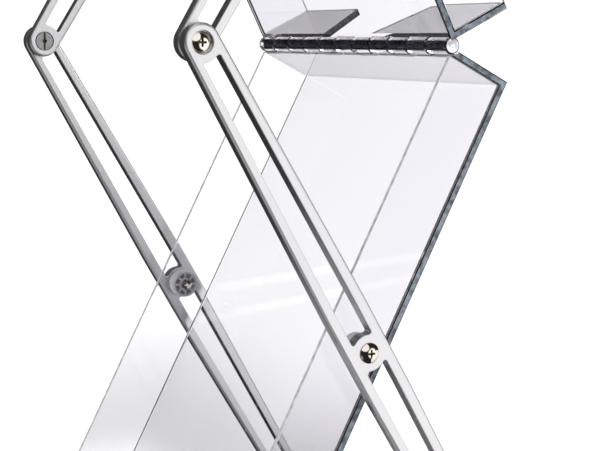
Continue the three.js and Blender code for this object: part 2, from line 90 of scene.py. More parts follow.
PIN_ROUND, ROUND, FINE_ROUND = 32, 48, 64  # sides of round pieces, from small to large
CORNER_STEPS = 10  # straight stretches in a small corner
ARM_END_STEPS = 36  # straight stretches round an arm's end
RIM_STEPS = 3  # flat strips in a rounded rim; more would be smoothed into the face
DOME_STEPS = 12  # rings of a screw's dome
NO_RADIUS = 1e-7  # a smaller radius lies on the axis itself
LOOKS_ALONG = 0.99  # a face looks along an axis when its normal has more of it than this
RUNS_ALONG = 0.1  # a face runs along an axis when its normal has less of it than this
SMOOTH_ANGLE = math.radians(14)  # flatter joints between faces are shaded smooth
SKIN = 0.05 * MM  # air left between pieces that are glued or pressed together


# ---- Options -------------------------------------------------------------------------------------


class Side(Enum):
    """The two sides of the rack, with their direction along Y."""

    NEAR = -1
    FAR = 1

    @property
    def label(self) -> str:
        """The word that ends the names of this side's nodes."""
        return self.name.lower()


class Combine(Enum):
    """How one solid changes another."""

    CUT = "DIFFERENCE"
    JOIN = "UNION"


# ---- Reading the frame ---------------------------------------------------------------------------


class RackFrame:
    """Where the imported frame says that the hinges, ends and layers are."""

    LEVEL_JOINTS = ("fold", "pocket_2_hinge", "pocket_3_hinge", "pocket_4_hinge", "top_hinge")
    STAGES = len(LEVEL_JOINTS) - 1

    def __init__(self) -> None:
        """Reads the joints, bodies and material slots of the record."""
        self.joint_place = {joint["name"]: Vector(joint["pos_m"]) for joint in frame["joints"]}
        bodies = RECORD["behaviour"]["bodies"]
        self.body_of = {node: body for body, nodes in bodies.items() for node in nodes}
        self.slot_of = {part["node"]: part["material_slot"] for part in RECORD["subparts"]}

    def axis(self, level: int) -> Vector:
        """The middle of a corner hinge's axis; level 0 is the base hinge."""
        return self.joint_place[self.LEVEL_JOINTS[level]]

    def centre(self, node: str) -> Vector:
        """The middle of a node's box."""
        low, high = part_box(node)
        return (low + high) / 2

    def arm_ends(self, number: int, side: Side) -> tuple[Vector, Vector]:
        """The pivots at an arm's ends.

        Args:
            number: The stage that the arm belongs to, from 1.
            side: The side of the rack.

        Returns:
            The lower and the upper pivot.
        """
        ends = {0: "base_roller", self.STAGES: "top_roller"}
        lower, upper = (self.centre(f"{ends.get(level, f'elbow_screw_{level}')}_{side.label}")
                        for level in (number - 1, number))
        return lower, upper


RACK = RackFrame()


# ---- Outlines ------------------------------------------------------------------------------------


def arc(centre: Point, radius: float, start: float, end: float, steps: int) -> Loop:
    """Points along a circular arc.

    Args:
        centre: The arc's centre.
        radius: Its radius.
        start: The first point's angle in radians.
        end: The last point's angle.
        steps: How many straight stretches stand for the arc.

    Returns:
        The points, both ends included.
    """
    angles = [start + (end - start) * i / steps for i in range(steps + 1)]
    return [(centre[0] + radius * math.cos(a), centre[1] + radius * math.sin(a)) for a in angles]


def circle(centre: Point, radius: float, sides: int = ROUND) -> Loop:
    """A closed circle, anticlockwise."""
    return arc(centre, radius, 0, math.tau, sides)[:-1]


def hole(loop: Loop) -> Loop:
    """The loop run the other way round, as a hole in another outline."""
    return loop[::-1]


def rectangle(x0: float, x1: float, y0: float, y1: float) -> Loop:
    """A rectangle, anticlockwise."""
    return [(x0, y0), (x1, y0), (x1, y1), (x0, y1)]


def rounded_rectangle(length: float, width: float, radius: float) -> Loop:
    """A rectangle with round corners about the origin.

    Args:
        length: Its size along the first axis.
        width: Its size along the second.
        radius: The corner radius.

    Returns:
        The closed outline, anticlockwise.
    """
    x, y = length / 2 - radius, width / 2 - radius
    quarter = math.pi / 2
    corners = [(x, y), (-x, y), (-x, -y), (x, -y)]
    return [point for i, corner in enumerate(corners)
            for point in arc(corner, radius, i * quarter, (i + 1) * quarter, CORNER_STEPS)]


def inset(loop: Loop, distance: float) -> Loop:
    """Moves every side of a closed loop to its left by a distance.

    Args:
        loop: The outline, with its material on the left.
        distance: How far each side moves into the material.

    Returns:
        The moved outline, with the same number of points.
    """
    moved = []
    for i, (x, y) in enumerate(loop):
        before, after = loop[i - 1], loop[(i + 1) % len(loop)]
        one = Vector((x - before[0], y - before[1])).normalized()
        two = Vector((after[0] - x, after[1] - y)).normalized()
        left_one, left_two = Vector((-one.y, one.x)), Vector((-two.y, two.x))
        slide = (left_one + left_two) * distance / (1 + left_one.dot(left_two))
        moved.append((x + slide.x, y + slide.y))
    return moved


# ---- Solids --------------------------------------------------------------------------------------


def to_mesh(name: str, points: Sequence[Sequence[float]], faces: Sequence[Sequence[int]]) -> Mesh:
    """Makes a closed mesh whose faces point outwards.

    Args:
        name: The mesh's name.
        points: Its points.
        faces: Its faces, as indices of points.

    Returns:
        The new mesh.
    """
    mesh = bpy.data.meshes.new(name)
    mesh.from_pydata([tuple(p) for p in points], [], [tuple(f) for f in faces])
    bm = bmesh.new()
    bm.from_mesh(mesh)
    bmesh.ops.recalc_face_normals(bm, faces=bm.faces)
    bm.to_mesh(mesh)
    bm.free()
    return mesh


def prism(name: str, loops: Sequence[Loop], low: float, high: float, rounding: float = 0.0,
          hole_rounding: float | None = None) -> Mesh:
    """An outline in X and Z, extruded along Y, with rounded rims.

    Args:
        name: The mesh's name.
        loops: The outer outline, anticlockwise, and then its holes, clockwise.
        low: Where it starts along Y.
        high: Where it ends.
        rounding: The radius of the rims on both faces, or 0 for sharp ones.
        hole_rounding: The radius of the holes' rims, where it isn't the same.

    Returns:
        A closed mesh.
    """
    quarter = math.pi / 2
    turns = [quarter * j / RIM_STEPS for j in range(RIM_STEPS + 1)] if rounding else [quarter]
    points: list[tuple[float, float, float]] = []
    faces: list[tuple[int, ...]] = []
    caps: list[list[int]] = [[], []]
    rims: list[list[Vector]] = [[], []]
    for number, loop in enumerate(loops):
        radius = rounding if number == 0 or hole_rounding is None else hole_rounding
        start = [(radius * (1 - math.sin(a)), low + radius * (1 - math.cos(a)) * bool(rounding))
                 for a in turns]
        profile = start + [(shift, low + high - y) for shift, y in reversed(start)]
        base, count = len(points), len(loop)
        for shift, y in profile:
            points += [(x, y, z) for x, z in (inset(loop, shift) if shift else loop)]
        for ring in range(len(profile) - 1):
            for i in range(count):
                a, b = base + ring * count + i, base + ring * count + (i + 1) % count
                faces.append((a, a + count, b + count, b))
        for cap, ring in enumerate((0, len(profile) - 1)):
            indices = range(base + ring * count, base + (ring + 1) * count)
            caps[cap] += indices
            rims[cap].append([Vector((points[i][0], points[i][2], 0)) for i in indices])
    for cap, indices in enumerate(caps):
        faces += [tuple(indices[i] for i in face) for face in tessellate_polygon(rims[cap])]
    return to_mesh(name, points, faces)


def upright_prism(name: str, outline: Loop, low: float, high: float, rounding: float = 0.0) -> Mesh:
    """An outline in X and Y, extruded along Z.

    Args:
        name: The mesh's name.
        outline: The outline, anticlockwise.
        low: The lower height.
        high: The upper height.
        rounding: The radius of the rims.

    Returns:
        A closed mesh.
    """
    turn = Matrix.Rotation(-math.pi / 2, 4, "X")
    return moved(prism(name, [outline], -high, -low, rounding), turn)


def turned(name: str, profile: Sequence[Point], sides: int = ROUND, ring: bool = False) -> Mesh:
    """A piece turned about the Y axis.

    Args:
        name: The mesh's name.
        profile: Pairs of radius and place along Y, from axis to axis, or round a closed ring.
        sides: How many sides stand for the round.
        ring: True where the profile closes on itself clear of the axis.

    Returns:
        A closed mesh.
    """
    points: list[tuple[float, float, float]] = []
    rows: list[list[int]] = []
    for radius, y in profile:
        if radius < NO_RADIUS:
            rows.append([len(points)] * sides)
            points.append((0.0, y, 0.0))
            continue
        rows.append(list(range(len(points), len(points) + sides)))
        points += [(x, y, z) for x, z in circle((0, 0), radius, sides)]
    pairs = list(zip(rows, rows[1:])) + ([(rows[-1], rows[0])] if ring else [])
    faces = []
    for one, two in pairs:
        for i in range(sides):
            j = (i + 1) % sides
            face = list(dict.fromkeys((one[i], two[i], two[j], one[j])))
            if len(face) > 2:
                faces.append(face)
    return to_mesh(name, points, faces)


def rod(name: str, radius: float, low: float, high: float, chamfer: float = 0.0,
        sides: int = ROUND) -> Mesh:
    """A rod on the Y axis.

    Args:
        name: The mesh's name.
        radius: Its radius.
        low: Where it starts along Y.
        high: Where it ends.
        chamfer: The size of the chamfers on both ends, or 0 for sharp ones.
        sides: How many sides stand for the round.

    Returns:
        A closed mesh.
    """
    face = radius - chamfer
    if chamfer:
        sleeve = [(face, low), (radius, low + chamfer), (radius, high - chamfer), (face, high)]
    else:
        sleeve = [(radius, low), (radius, high)]
    return turned(name, [(0, low), *sleeve, (0, high)], sides)


def block(x0: float, x1: float, y0: float, y1: float, z0: float, z1: float,
          rounding: float = 0.0) -> Mesh:
    """A bar between six planes, with its Y rims rounded."""
    return prism("block", [rectangle(x0, x1, z0, z1)], y0, y1, rounding)


def moved(mesh: Mesh, matrix: Matrix) -> Mesh:
    """The same mesh after a move or a turn."""
    mesh.transform(matrix)
    return mesh


def on_axis(mesh: Mesh, place: Point) -> Mesh:
    """The same mesh moved in X and Z."""
    return moved(mesh, Matrix.Translation((place[0], 0, place[1])))


def shown(name: str, data: bpy.types.ID) -> Object:
    """Puts a new object in the scene.

    Args:
        name: The object's name.
        data: The mesh, camera or light that it shows.

    Returns:
        The object.
    """
    obj = bpy.data.objects.new(name, data)
    bpy.context.scene.collection.objects.link(obj)
    return obj


def baked(obj: Object) -> Mesh:
    """The mesh of an object with its modifiers applied; the object itself is removed.

    Args:
        obj: An object with live modifiers.

    Returns:
        A plain mesh.
    """
    graph = bpy.context.evaluated_depsgraph_get()
    mesh = bpy.data.meshes.new_from_object(obj.evaluated_get(graph), depsgraph=graph)
    bpy.data.objects.remove(obj)
    return mesh


def combined(name: str, body: Mesh, how: Combine, *tools: Mesh) -> Mesh:
    """Cuts tools out of a body or joins them to it.

    Args:
        name: The new mesh's name.
        body: The solid to change.
        how: Whether to cut or to join.
        tools: The other solids.

    Returns:
        One closed mesh.
    """
    obj = shown(name, body)
    helpers = []
    for i, tool in enumerate(tools):
        helper = shown(f"{name}_tool_{i}", tool)
        modifier = obj.modifiers.new("solid", "BOOLEAN")
        modifier.operation = how.value
        modifier.solver = "MANIFOLD"
        modifier.object = helper
        helpers.append(helper)
    mesh = baked(obj)
    for helper in helpers:
        bpy.data.objects.remove(helper)
    mesh.name = name
    return mesh


# ---- Node trees ----------------------------------------------------------------------------------


class Graph:
    """A node tree, filled one node at a time."""

    def __init__(self, tree: NodeTree) -> None:
        """Takes the tree to fill."""
        self.tree = tree

    def add(self, kind: str, inputs: dict[str | int, object], **settings: object) -> Node:
        """Adds a node.

        Args:
            kind: The node's type.
            inputs: A socket to link from, or a plain value, for each input by name or number.
            settings: Properties to set on the node.

        Returns:
            The new node.
        """
        node = self.tree.nodes.new(kind)
        for key, value in settings.items():
            setattr(node, key, value)
        for key, value in inputs.items():
            if isinstance(value, Socket):
                self.tree.links.new(value, node.inputs[key])
            else:
                node.inputs[key].default_value = value
        return node

    def math(self, operation: str, *values: object, clamp: bool = False) -> Socket:
        """Adds a calculation.

        Args:
            operation: What it does.
            values: The numbers or sockets that it works on.
            clamp: True to keep the result between 0 and 1.

        Returns:
            The result.
        """
        made = self.add("ShaderNodeMath", dict(enumerate(values)), operation=operation,
                        use_clamp=clamp)
        return made.outputs["Value"]

    def ramp(self, value: Socket, *limits: object, smooth: bool = False) -> Socket:
        """Adds a ramp from one range of numbers onto another.

        Args:
            value: The number to map.
            limits: The range's ends, and then what they are mapped onto.
            smooth: True for a ramp that starts and ends gently.

        Returns:
            The result.
        """
        names = ("From Min", "From Max", "To Min", "To Max")
        shape = "SMOOTHSTEP" if smooth else "LINEAR"
        inputs = {"Value": value, **dict(zip(names, limits))}
        return self.add("ShaderNodeMapRange", inputs, interpolation_type=shape).outputs["Result"]


# ---- Repeats -------------------------------------------------------------------------------------


class RepeatTree(Graph):
    """A Geometry Nodes tree that sets copies of one solid along Y or round the Y axis."""

    SOCKETS = {"Piece": "Object", "Count": "Int", "Finish": "Material", "Pitch": "Float"}

    def __init__(self, name: str) -> None:
        """Makes an empty tree with its inputs.

        Args:
            name: The tree's name.
        """
        super().__init__(bpy.data.node_groups.new(name, "GeometryNodeTree"))
        face = self.tree.interface
        for key, kind in self.SOCKETS.items():
            face.new_socket(key, in_out="INPUT", socket_type=f"NodeSocket{kind}")
        face.new_socket("Solids", in_out="OUTPUT", socket_type="NodeSocketGeometry")
        self.given = self.add("NodeGroupInput", {}).outputs

    def finish(self, points: Socket, **turn: Socket) -> None:
        """Sets a copy on every point, as real geometry with its finish.

        Args:
            points: The points.
            turn: The copies' Rotation, where they are turned.
        """
        source = self.add("GeometryNodeObjectInfo", {"Object": self.given["Piece"]})
        inputs = {"Points": points, "Instance": source.outputs["Geometry"], **turn}
        copies = self.add("GeometryNodeInstanceOnPoints", inputs).outputs["Instances"]
        real = self.add("GeometryNodeRealizeInstances", {"Geometry": copies}).outputs["Geometry"]
        dressed = self.add("GeometryNodeSetMaterial",
                           {"Geometry": real, "Material": self.given["Finish"]})
        self.add("NodeGroupOutput", {"Solids": dressed.outputs["Geometry"]})

    def made(self, piece: Mesh, **values: float) -> Mesh:
        """Runs the tree.

        Args:
            piece: The solid to repeat.
            values: The tree's other inputs, by name.

        Returns:
            One mesh with every copy.
        """
        source = shown("repeated_piece", piece)
        holder = shown("repeats", bpy.data.meshes.new("repeats"))
        modifier = holder.modifiers.new("repeat", "NODES")
        modifier.node_group = self.tree
        settings = {"Piece": source, **{key.capitalize(): value for key, value in values.items()}}
        for item in self.tree.interface.items_tree:
            if item.in_out == "INPUT" and item.name in settings:
                modifier[item.identifier] = settings[item.name]
        mesh = baked(holder)
        bpy.data.objects.remove(source)
        return mesh


class RowTree(RepeatTree):
    """Copies along Y, the first where the piece itself is."""

    def __init__(self) -> None:
        """Builds the tree."""
        super().__init__("row_of_pieces")
        offset = self.add("ShaderNodeCombineXYZ", {"Y": self.given["Pitch"]}).outputs["Vector"]
        inputs = {"Count": self.given["Count"], "Offset": offset}
        self.finish(self.add("GeometryNodeMeshLine", inputs, mode="OFFSET").outputs["Mesh"])


class RingTree(RepeatTree):
    """Copies evenly round the Y axis, the first where the piece itself is."""

    def __init__(self) -> None:
        """Builds the tree."""
        super().__init__("ring_of_pieces")
        index = self.add("GeometryNodeInputIndex", {}).outputs["Index"]
        angle = self.math("MULTIPLY", index, self.math("DIVIDE", math.tau, self.given["Count"]))
        turn = self.add("ShaderNodeCombineXYZ", {"Y": angle}).outputs["Vector"]
        rotation = self.add("FunctionNodeEulerToRotation", {"Euler": turn}).outputs["Rotation"]
        points = self.add("GeometryNodePoints", {"Count": self.given["Count"]}).outputs["Points"]
        self.finish(points, Rotation=rotation)


ROW = RowTree()
RING = RingTree()


# ---- Shared effects ------------------------------------------------------------------------------


class Effect(Graph):
    """A shader node group with named inputs and one output that changes over the surface."""

    def __init__(self, name: str, output: str, **sizes: float) -> None:
        """Makes the group's sockets.

        Args:
            name: The group's name.
            output: The name of its output.
            sizes: Its number inputs with their usual values.
        """
        super().__init__(bpy.data.node_groups.new(name, "ShaderNodeTree"))
        face = self.tree.interface
        face.new_socket("Vector", in_out="INPUT", socket_type="NodeSocketVector")
        for key, value in sizes.items():
            made = face.new_socket(key, in_out="INPUT", socket_type="NodeSocketFloat")
            made.default_value = value
        face.new_socket(output, in_out="OUTPUT", socket_type="NodeSocketFloat")
        self.given = self.add("NodeGroupInput", {}).outputs

    def stretched(self) -> Socket:
        """Draws the incoming place out along Z by the Stretch input.

        Returns:
            The drawn-out place.
        """
        share = self.math("DIVIDE", 1.0, self.given["Stretch"])
        scale = self.add("ShaderNodeCombineXYZ", {"X": 1.0, "Y": 1.0, "Z": share})
        inputs = {0: self.given["Vector"], 1: scale.outputs["Vector"]}
        return self.add("ShaderNodeVectorMath", inputs, operation="MULTIPLY").outputs["Vector"]

    def noise(self, place: Socket, detail: float) -> Socket:
        """Noise at the Scale input.

        Args:
            place: The place to read it at.
            detail: How many finer layers it has.

        Returns:
            The noise's value.
        """
        inputs = {"Vector": place, "Scale": self.given["Scale"], "Detail": detail}
        return self.add("ShaderNodeTexNoise", inputs).outputs["Fac"]

    def ended(self, value: Socket) -> NodeTree:
        """The finished group, with a value sent to its output."""
        self.add("NodeGroupOutput", {0: value})
        return self.tree


def grain_effect() -> NodeTree:
    """Fine drawn grain that runs along Z of the incoming place."""
    effect = Effect("fine_grain", "Grain", Scale=900.0, Stretch=40.0)
    return effect.ended(effect.noise(effect.stretched(), detail=3.0))


def mottle_effect() -> NodeTree:
    """Soft patches, such as handling marks and uneven colour.

    Returns:
        The node group.
    """
    middle = 0.5
    effect = Effect("soft_mottle", "Mottle", Scale=30.0, Contrast=1.5)
    value = effect.noise(effect.given["Vector"], detail=2.0)
    centred = effect.math("SUBTRACT", value, middle)
    stronger = effect.math("MULTIPLY", centred, effect.given["Contrast"])
    return effect.ended(effect.math("ADD", stronger, middle, clamp=True))


def hairline_effect() -> NodeTree:
    """Sparse hairline scratches that run roughly along Z of the incoming place.

    Returns:
        The node group.
    """
    level = 0.68
    effect = Effect("hairlines", "Hairlines", Scale=250.0, Stretch=60.0, Width=0.02)
    value = effect.noise(effect.stretched(), detail=1.0)
    distance = effect.math("ABSOLUTE", effect.math("SUBTRACT", value, level))
    return effect.ended(effect.ramp(distance, 0.0, effect.given["Width"], 1.0, 0.0))


def shading_effect() -> NodeTree:
    """A soft painted shade in the lower half of every pocket, from its ledge to half its height.

    Returns:
        The node group.
    """
    effect = Effect("pocket_shade", "Shade", Base=0.0, Height=0.3, Start=0.1, Full=0.2, End=0.5)
    given = effect.given
    height = effect.add("ShaderNodeSeparateXYZ", {"Vector": given["Vector"]}).outputs["Z"]
    above = effect.math("SUBTRACT", height, given["Base"])
    share = effect.math("FRACT", effect.math("DIVIDE", above, given["Height"]))
    rise = effect.ramp(share, given["Start"], given["Full"], 0.0, 1.0, smooth=True)
    fall = effect.ramp(share, given["Full"], given["End"], 1.0, 0.0, smooth=True)
    return effect.ended(effect.math("MULTIPLY", rise, fall))


GRAIN = grain_effect()
PAINTED_SHADE = shading_effect()
MOTTLE = mottle_effect()
HAIRLINES = hairline_effect()


# ---- Finishes ------------------------------------------------------------------------------------


class FinishNodes(Graph):
    """Builds one material's nodes around a Principled shader."""

    def __init__(self, name: str, lean: float = 0.0) -> None:
        """Starts a material that reads the piece's own place.

        Args:
            name: The material's name.
            lean: The turn about Y, in radians, that brings the pattern's Z onto the piece's length.
        """
        self.material = bpy.data.materials.new(name)
        self.material.use_nodes = True
        super().__init__(self.material.node_tree)
        self.shader = self.tree.nodes["Principled BSDF"]
        own = self.add("ShaderNodeTexCoord", {}).outputs["Object"]
        inputs = {"Vector": own, "Rotation": Euler((0.0, -lean, 0.0))}
        self.place = self.add("ShaderNodeMapping", inputs).outputs["Vector"]

    def set(self, **values: object) -> None:
        """Sets the shader's own sockets; an underscore in a name stands for a space."""
        for key, value in values.items():
            self.shader.inputs[key.replace("_", " ")].default_value = value

    def feed(self, name: str, value: Socket) -> None:
        """Links a value to one of the shader's sockets."""
        self.tree.links.new(value, self.shader.inputs[name])

    def effect(self, tree: NodeTree, **values: float) -> Socket:
        """Places a shared effect.

        Args:
            tree: The effect's node group.
            values: Its inputs by name.

        Returns:
            The effect's output.
        """
        inputs = {"Vector": self.place, **values}
        return self.add("ShaderNodeGroup", inputs, node_tree=tree).outputs[0]

    def colour(self, mask: Socket, low: Colour, high: Colour) -> None:
        """Lets the base colour run between two colours.

        Args:
            mask: The value that picks the place between them.
            low: The colour at 0.
            high: The colour at 1.
        """
        factor, one, two, result = 0, 6, 7, 2  # the colour sockets of a mix
        inputs = {factor: mask, one: (*low, 1.0), two: (*high, 1.0)}
        mix = self.add("ShaderNodeMix", inputs, data_type="RGBA")
        self.feed("Base Color", mix.outputs[result])

    def roughness(self, mask: Socket, low: float, high: float) -> None:
        """Lets the roughness run between two values.

        Args:
            mask: The value that picks the place between them.
            low: The roughness at 0.
            high: The roughness at 1.
        """
        self.feed("Roughness", self.ramp(mask, 0.0, 1.0, low, high))

    def bump(self, height: Socket, strength: float, depth: float) -> None:
        """Raises the surface a little.

        Args:
            height: The value that is highest on the ridges.
            strength: How strongly it tilts the surface.
            depth: The height of a ridge in metres.
        """
        inputs = {"Height": height, "Strength": strength, "Distance": depth}
        self.feed("Normal", self.add("ShaderNodeBump", inputs).outputs["Normal"])


@dataclass(frozen=True)
class Anodised:
    """Satin anodised aluminium, drawn along the piece."""

    name: str
    lean: float = 0.0
    shade: Colour = (0.73, 0.73, 0.755)
    light: Colour = (0.80, 0.80, 0.82)
    metal: float = 1.0

    def build(self) -> Material:
        """Makes the material.

        Returns:
            The material.
        """
        finish = FinishNodes(self.name, self.lean)
        grain = finish.effect(GRAIN, Scale=1500.0, Stretch=60.0)
        finish.set(Metallic=self.metal)
        finish.colour(finish.effect(MOTTLE, Scale=14.0, Contrast=1.6), self.shade, self.light)
        finish.roughness(grain, 0.28, 0.42)
        finish.bump(grain, 0.12, 0.02 * MM)
        return finish.material


@dataclass(frozen=True)
class ClearAcrylic:
    """Polished clear sheet with a few hairlines, and a painted shade in the lower half of every
    pocket.
    """

    name: str = "clear_acrylic"
    shaded: Colour = (0.66, 0.655, 0.68)
    clear: Colour = (0.96, 0.95, 0.985)

    def build(self) -> Material:
        """Makes the material.

        Returns:
            The material.
        """
        finish = FinishNodes(self.name)
        finish.set(IOR=1.49, Transmission_Weight=1.0)
        foot, top = RACK.axis(0).z, RACK.axis(1).z
        # painted shade: the sheet's colour darkens in each pocket's lower half, most at about a
        # fifth of its height
        shade = finish.effect(PAINTED_SHADE, Base=foot, Height=top - foot, Start=0.10, Full=0.22, End=0.50)
        finish.colour(shade, self.clear, self.shaded)
        lines = finish.effect(HAIRLINES, Scale=160.0, Stretch=50.0, Width=0.006)
        finish.roughness(lines, 0.01, 0.12)
        return finish.material


@dataclass(frozen=True)
class AcrylicEdge:
    """Painted shade or painted light on the clear sheet's cut edges, with the saw's faint marks."""

    name: str
    deep: Colour
    pale: Colour

    def build(self) -> Material:
        """Makes the material.

        Returns:
            The material.
        """
        finish = FinishNodes(self.name)
        finish.set(IOR=1.49)
        finish.colour(finish.effect(MOTTLE, Scale=280.0, Contrast=3.0), self.deep, self.pale)
        finish.roughness(finish.effect(MOTTLE, Scale=60.0, Contrast=2.0), 0.08, 0.3)
        finish.bump(finish.effect(GRAIN, Scale=700.0, Stretch=0.2), 0.15, 0.02 * MM)
        return finish.material


@dataclass(frozen=True)
class PlatedMetal:
    """Plated or drawn metal of small parts, and the painted shade in their recesses."""

    name: str
    low: Colour
    high: Colour
    smooth: float
    rough: float
    ripple: float

    def build(self) -> Material:
        """Makes the material.

        Returns:
            The material.
        """
        finish = FinishNodes(self.name)
        mottle = finish.effect(MOTTLE, Scale=420.0, Contrast=1.8)
        finish.set(Metallic=1.0)
        finish.colour(mottle, self.low, self.high)
        finish.roughness(finish.effect(GRAIN, Scale=2400.0, Stretch=3.0), self.smooth, self.rough)
        finish.bump(mottle, self.ripple, 0.02 * MM)
        return finish.material


@dataclass(frozen=True)
class Moulded:
    """Moulded plastic or rubber with a fine spark-eroded texture."""

    name: str
    low: Colour
    high: Colour
    smooth: float
    rough: float

    def build(self) -> Material:
        """Makes the material.

        Returns:
            The material.
        """
        finish = FinishNodes(self.name)
        texture = finish.effect(GRAIN, Scale=2600.0, Stretch=1.0)
        finish.set(IOR=1.5)
        finish.colour(finish.effect(MOTTLE, Scale=120.0, Contrast=1.4), self.low, self.high)
        finish.roughness(texture, self.smooth, self.rough)
        finish.bump(texture, 0.2, 0.03 * MM)
        return finish.material


class Finishes:
    """Every material of the rack, made once."""

    def __init__(self) -> None:
        """Builds the materials."""
        self.panel = Anodised("anodised_panel", lean=math.pi / 2, metal=0.5).build()
        self.acrylic = ClearAcrylic().build()
        # painted shade: a dark slate colour on the sheet's clear cut ends
        self.cut_edge = AcrylicEdge(
            "acrylic_cut_edge", (0.04, 0.052, 0.068), (0.19, 0.225, 0.265)).build()
        # painted shade: near black on the notch cut that faces one way and in the pin bores
        self.notch_edge = AcrylicEdge(
            "acrylic_notch_edge", (0.008, 0.010, 0.018), (0.03, 0.035, 0.05)).build()
        # painted light: a pale grey colour on the clear knuckle ends
        self.knuckle_end = AcrylicEdge(
            "acrylic_knuckle_end", (0.30, 0.31, 0.33), (0.78, 0.79, 0.81)).build()
        # painted shade: a grey colour on the walls' clear front edges
        self.pale_edge = AcrylicEdge(
            "acrylic_wall_edge", (0.32, 0.32, 0.34), (0.52, 0.52, 0.54)).build()
        self.nickel = PlatedMetal(
            "bright_nickel", (0.88, 0.80, 0.69), (0.96, 0.91, 0.83), 0.04, 0.10, 0.05).build()
        # painted shade: a dark copy of the plating in the cross recesses and the nut's centre hole
        self.drive = PlatedMetal(
            "dull_drive_recess", (0.05, 0.04, 0.03), (0.16, 0.12, 0.09), 0.3, 0.5, 0.2).build()
        # a near-black pin, much darker than bare steel
        self.steel = PlatedMetal("burnished_steel_pin", (0.02, 0.02, 0.022), (0.05, 0.05, 0.055),
                                 0.2, 0.35, 0.05).build()
        self.zinc = PlatedMetal(
            "zinc_plate", (0.36, 0.37, 0.38), (0.46, 0.47, 0.48), 0.32, 0.5, 0.2).build()
        self.plastic = Moulded(
            "grey_moulded_plastic", (0.50, 0.50, 0.52), (0.58, 0.58, 0.60), 0.3, 0.45).build()
        self.rubber = Moulded(
            "black_rubber", (0.016, 0.016, 0.017), (0.03, 0.03, 0.032), 0.6, 0.85).build()

    def arm(self, name: str, lean: float) -> Material:
        """Anodised metal whose grain runs along a leaning arm."""
        return Anodised(name, lean).build()


# ---- Pieces --------------------------------------------------------------------------------------


@dataclass
class Piece:
    """A finished mesh that stands for one node of the frame."""

    name: str
    node: str
    mesh: Mesh
    finishes: tuple[Material, ...]

    def install(self) -> None:
        """Shows the piece in place of its node, on that node's body."""
        last = len(self.finishes) - 1
        chosen = [min(face.material_index, last) for face in self.mesh.polygons]
        self.mesh.materials.clear()
        for finish in self.finishes:
            self.mesh.materials.append(finish)
        self.mesh.polygons.foreach_set("material_index", chosen)
        self.mesh.shade_smooth()
        self.mesh.set_sharp_from_angle(angle=SMOOTH_ANGLE)
        obj = shown(self.name, self.mesh)
        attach(obj, RACK.body_of[self.node])
        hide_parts(self.node)
        LOG.info("%s stands for %s, %d faces", self.name, self.node, len(self.mesh.polygons))


@dataclass(frozen=True)
class HingeSizes:
    """The corner hinge that all pockets and both panels share."""

    width: float
    knuckles: int = 11
    radius: float = 4.7 * MM
    end_gap: float = 0.5 * MM
    turning_gap: float = 0.5 * MM
    chamfer: float = 1.0 * MM
    bore: float = 1.2 * MM
    pin: float = 0.9 * MM
    pin_inset: float = 4.5 * MM

    @property
    def pitch(self) -> float:
        """The length of one knuckle with its share of the gaps."""
        return self.width / self.knuckles

    def every_second(self, piece: Mesh, first: int, axis: Point) -> Mesh:
        """A leaf's pieces in a row along its hinge.

        Args:
            piece: The first of them.
            first: 0 for the leaf that has both end knuckles, 1 for the other.
            axis: The hinge axis in X and Z.

        Returns:
            One mesh.
        """
        count = (self.knuckles + 1) // 2 - first
        return on_axis(ROW.made(piece, count=count, pitch=2 * self.pitch), axis)

    def barrels(self, first: int, axis: Point) -> Mesh:
        """The knuckles of one leaf.

        Args:
            first: As for every_second.
            axis: The hinge axis in X and Z.

        Returns:
            One mesh with every second knuckle.
        """
        start = -self.width / 2 + first * self.pitch + self.end_gap / 2
        end = start + self.pitch - self.end_gap
        knuckle = rod("knuckle", self.radius, start, end, self.chamfer)
        return self.every_second(knuckle, first, axis)

    def room(self, first: int, axis: Point) -> Mesh:
        """The space that one leaf leaves for the other's knuckles.

        Args:
            first: As for every_second.
            axis: The hinge axis in X and Z.

        Returns:
            One mesh to cut away.
        """
        start = -self.width / 2 + first * self.pitch
        radius = self.radius + self.turning_gap
        return self.every_second(rod("room", radius, start, start + self.pitch), first, axis)

    def bore_tools(self, axis: Point) -> tuple[Mesh, Mesh]:
        """The rods that cut the pin's bore.

        Args:
            axis: The hinge axis in X and Z.

        Returns:
            The stretch that holds the pin, and the open stretches at both ends.
        """
        reach = self.width / 2 - self.pin_inset
        middle = rod("bore", self.bore, -reach, reach)
        end = rod("bore_end", self.bore, -reach - self.width, -reach)
        ends = ROW.made(end, count=2, pitch=2 * reach + self.width)
        return on_axis(middle, axis), on_axis(ends, axis)


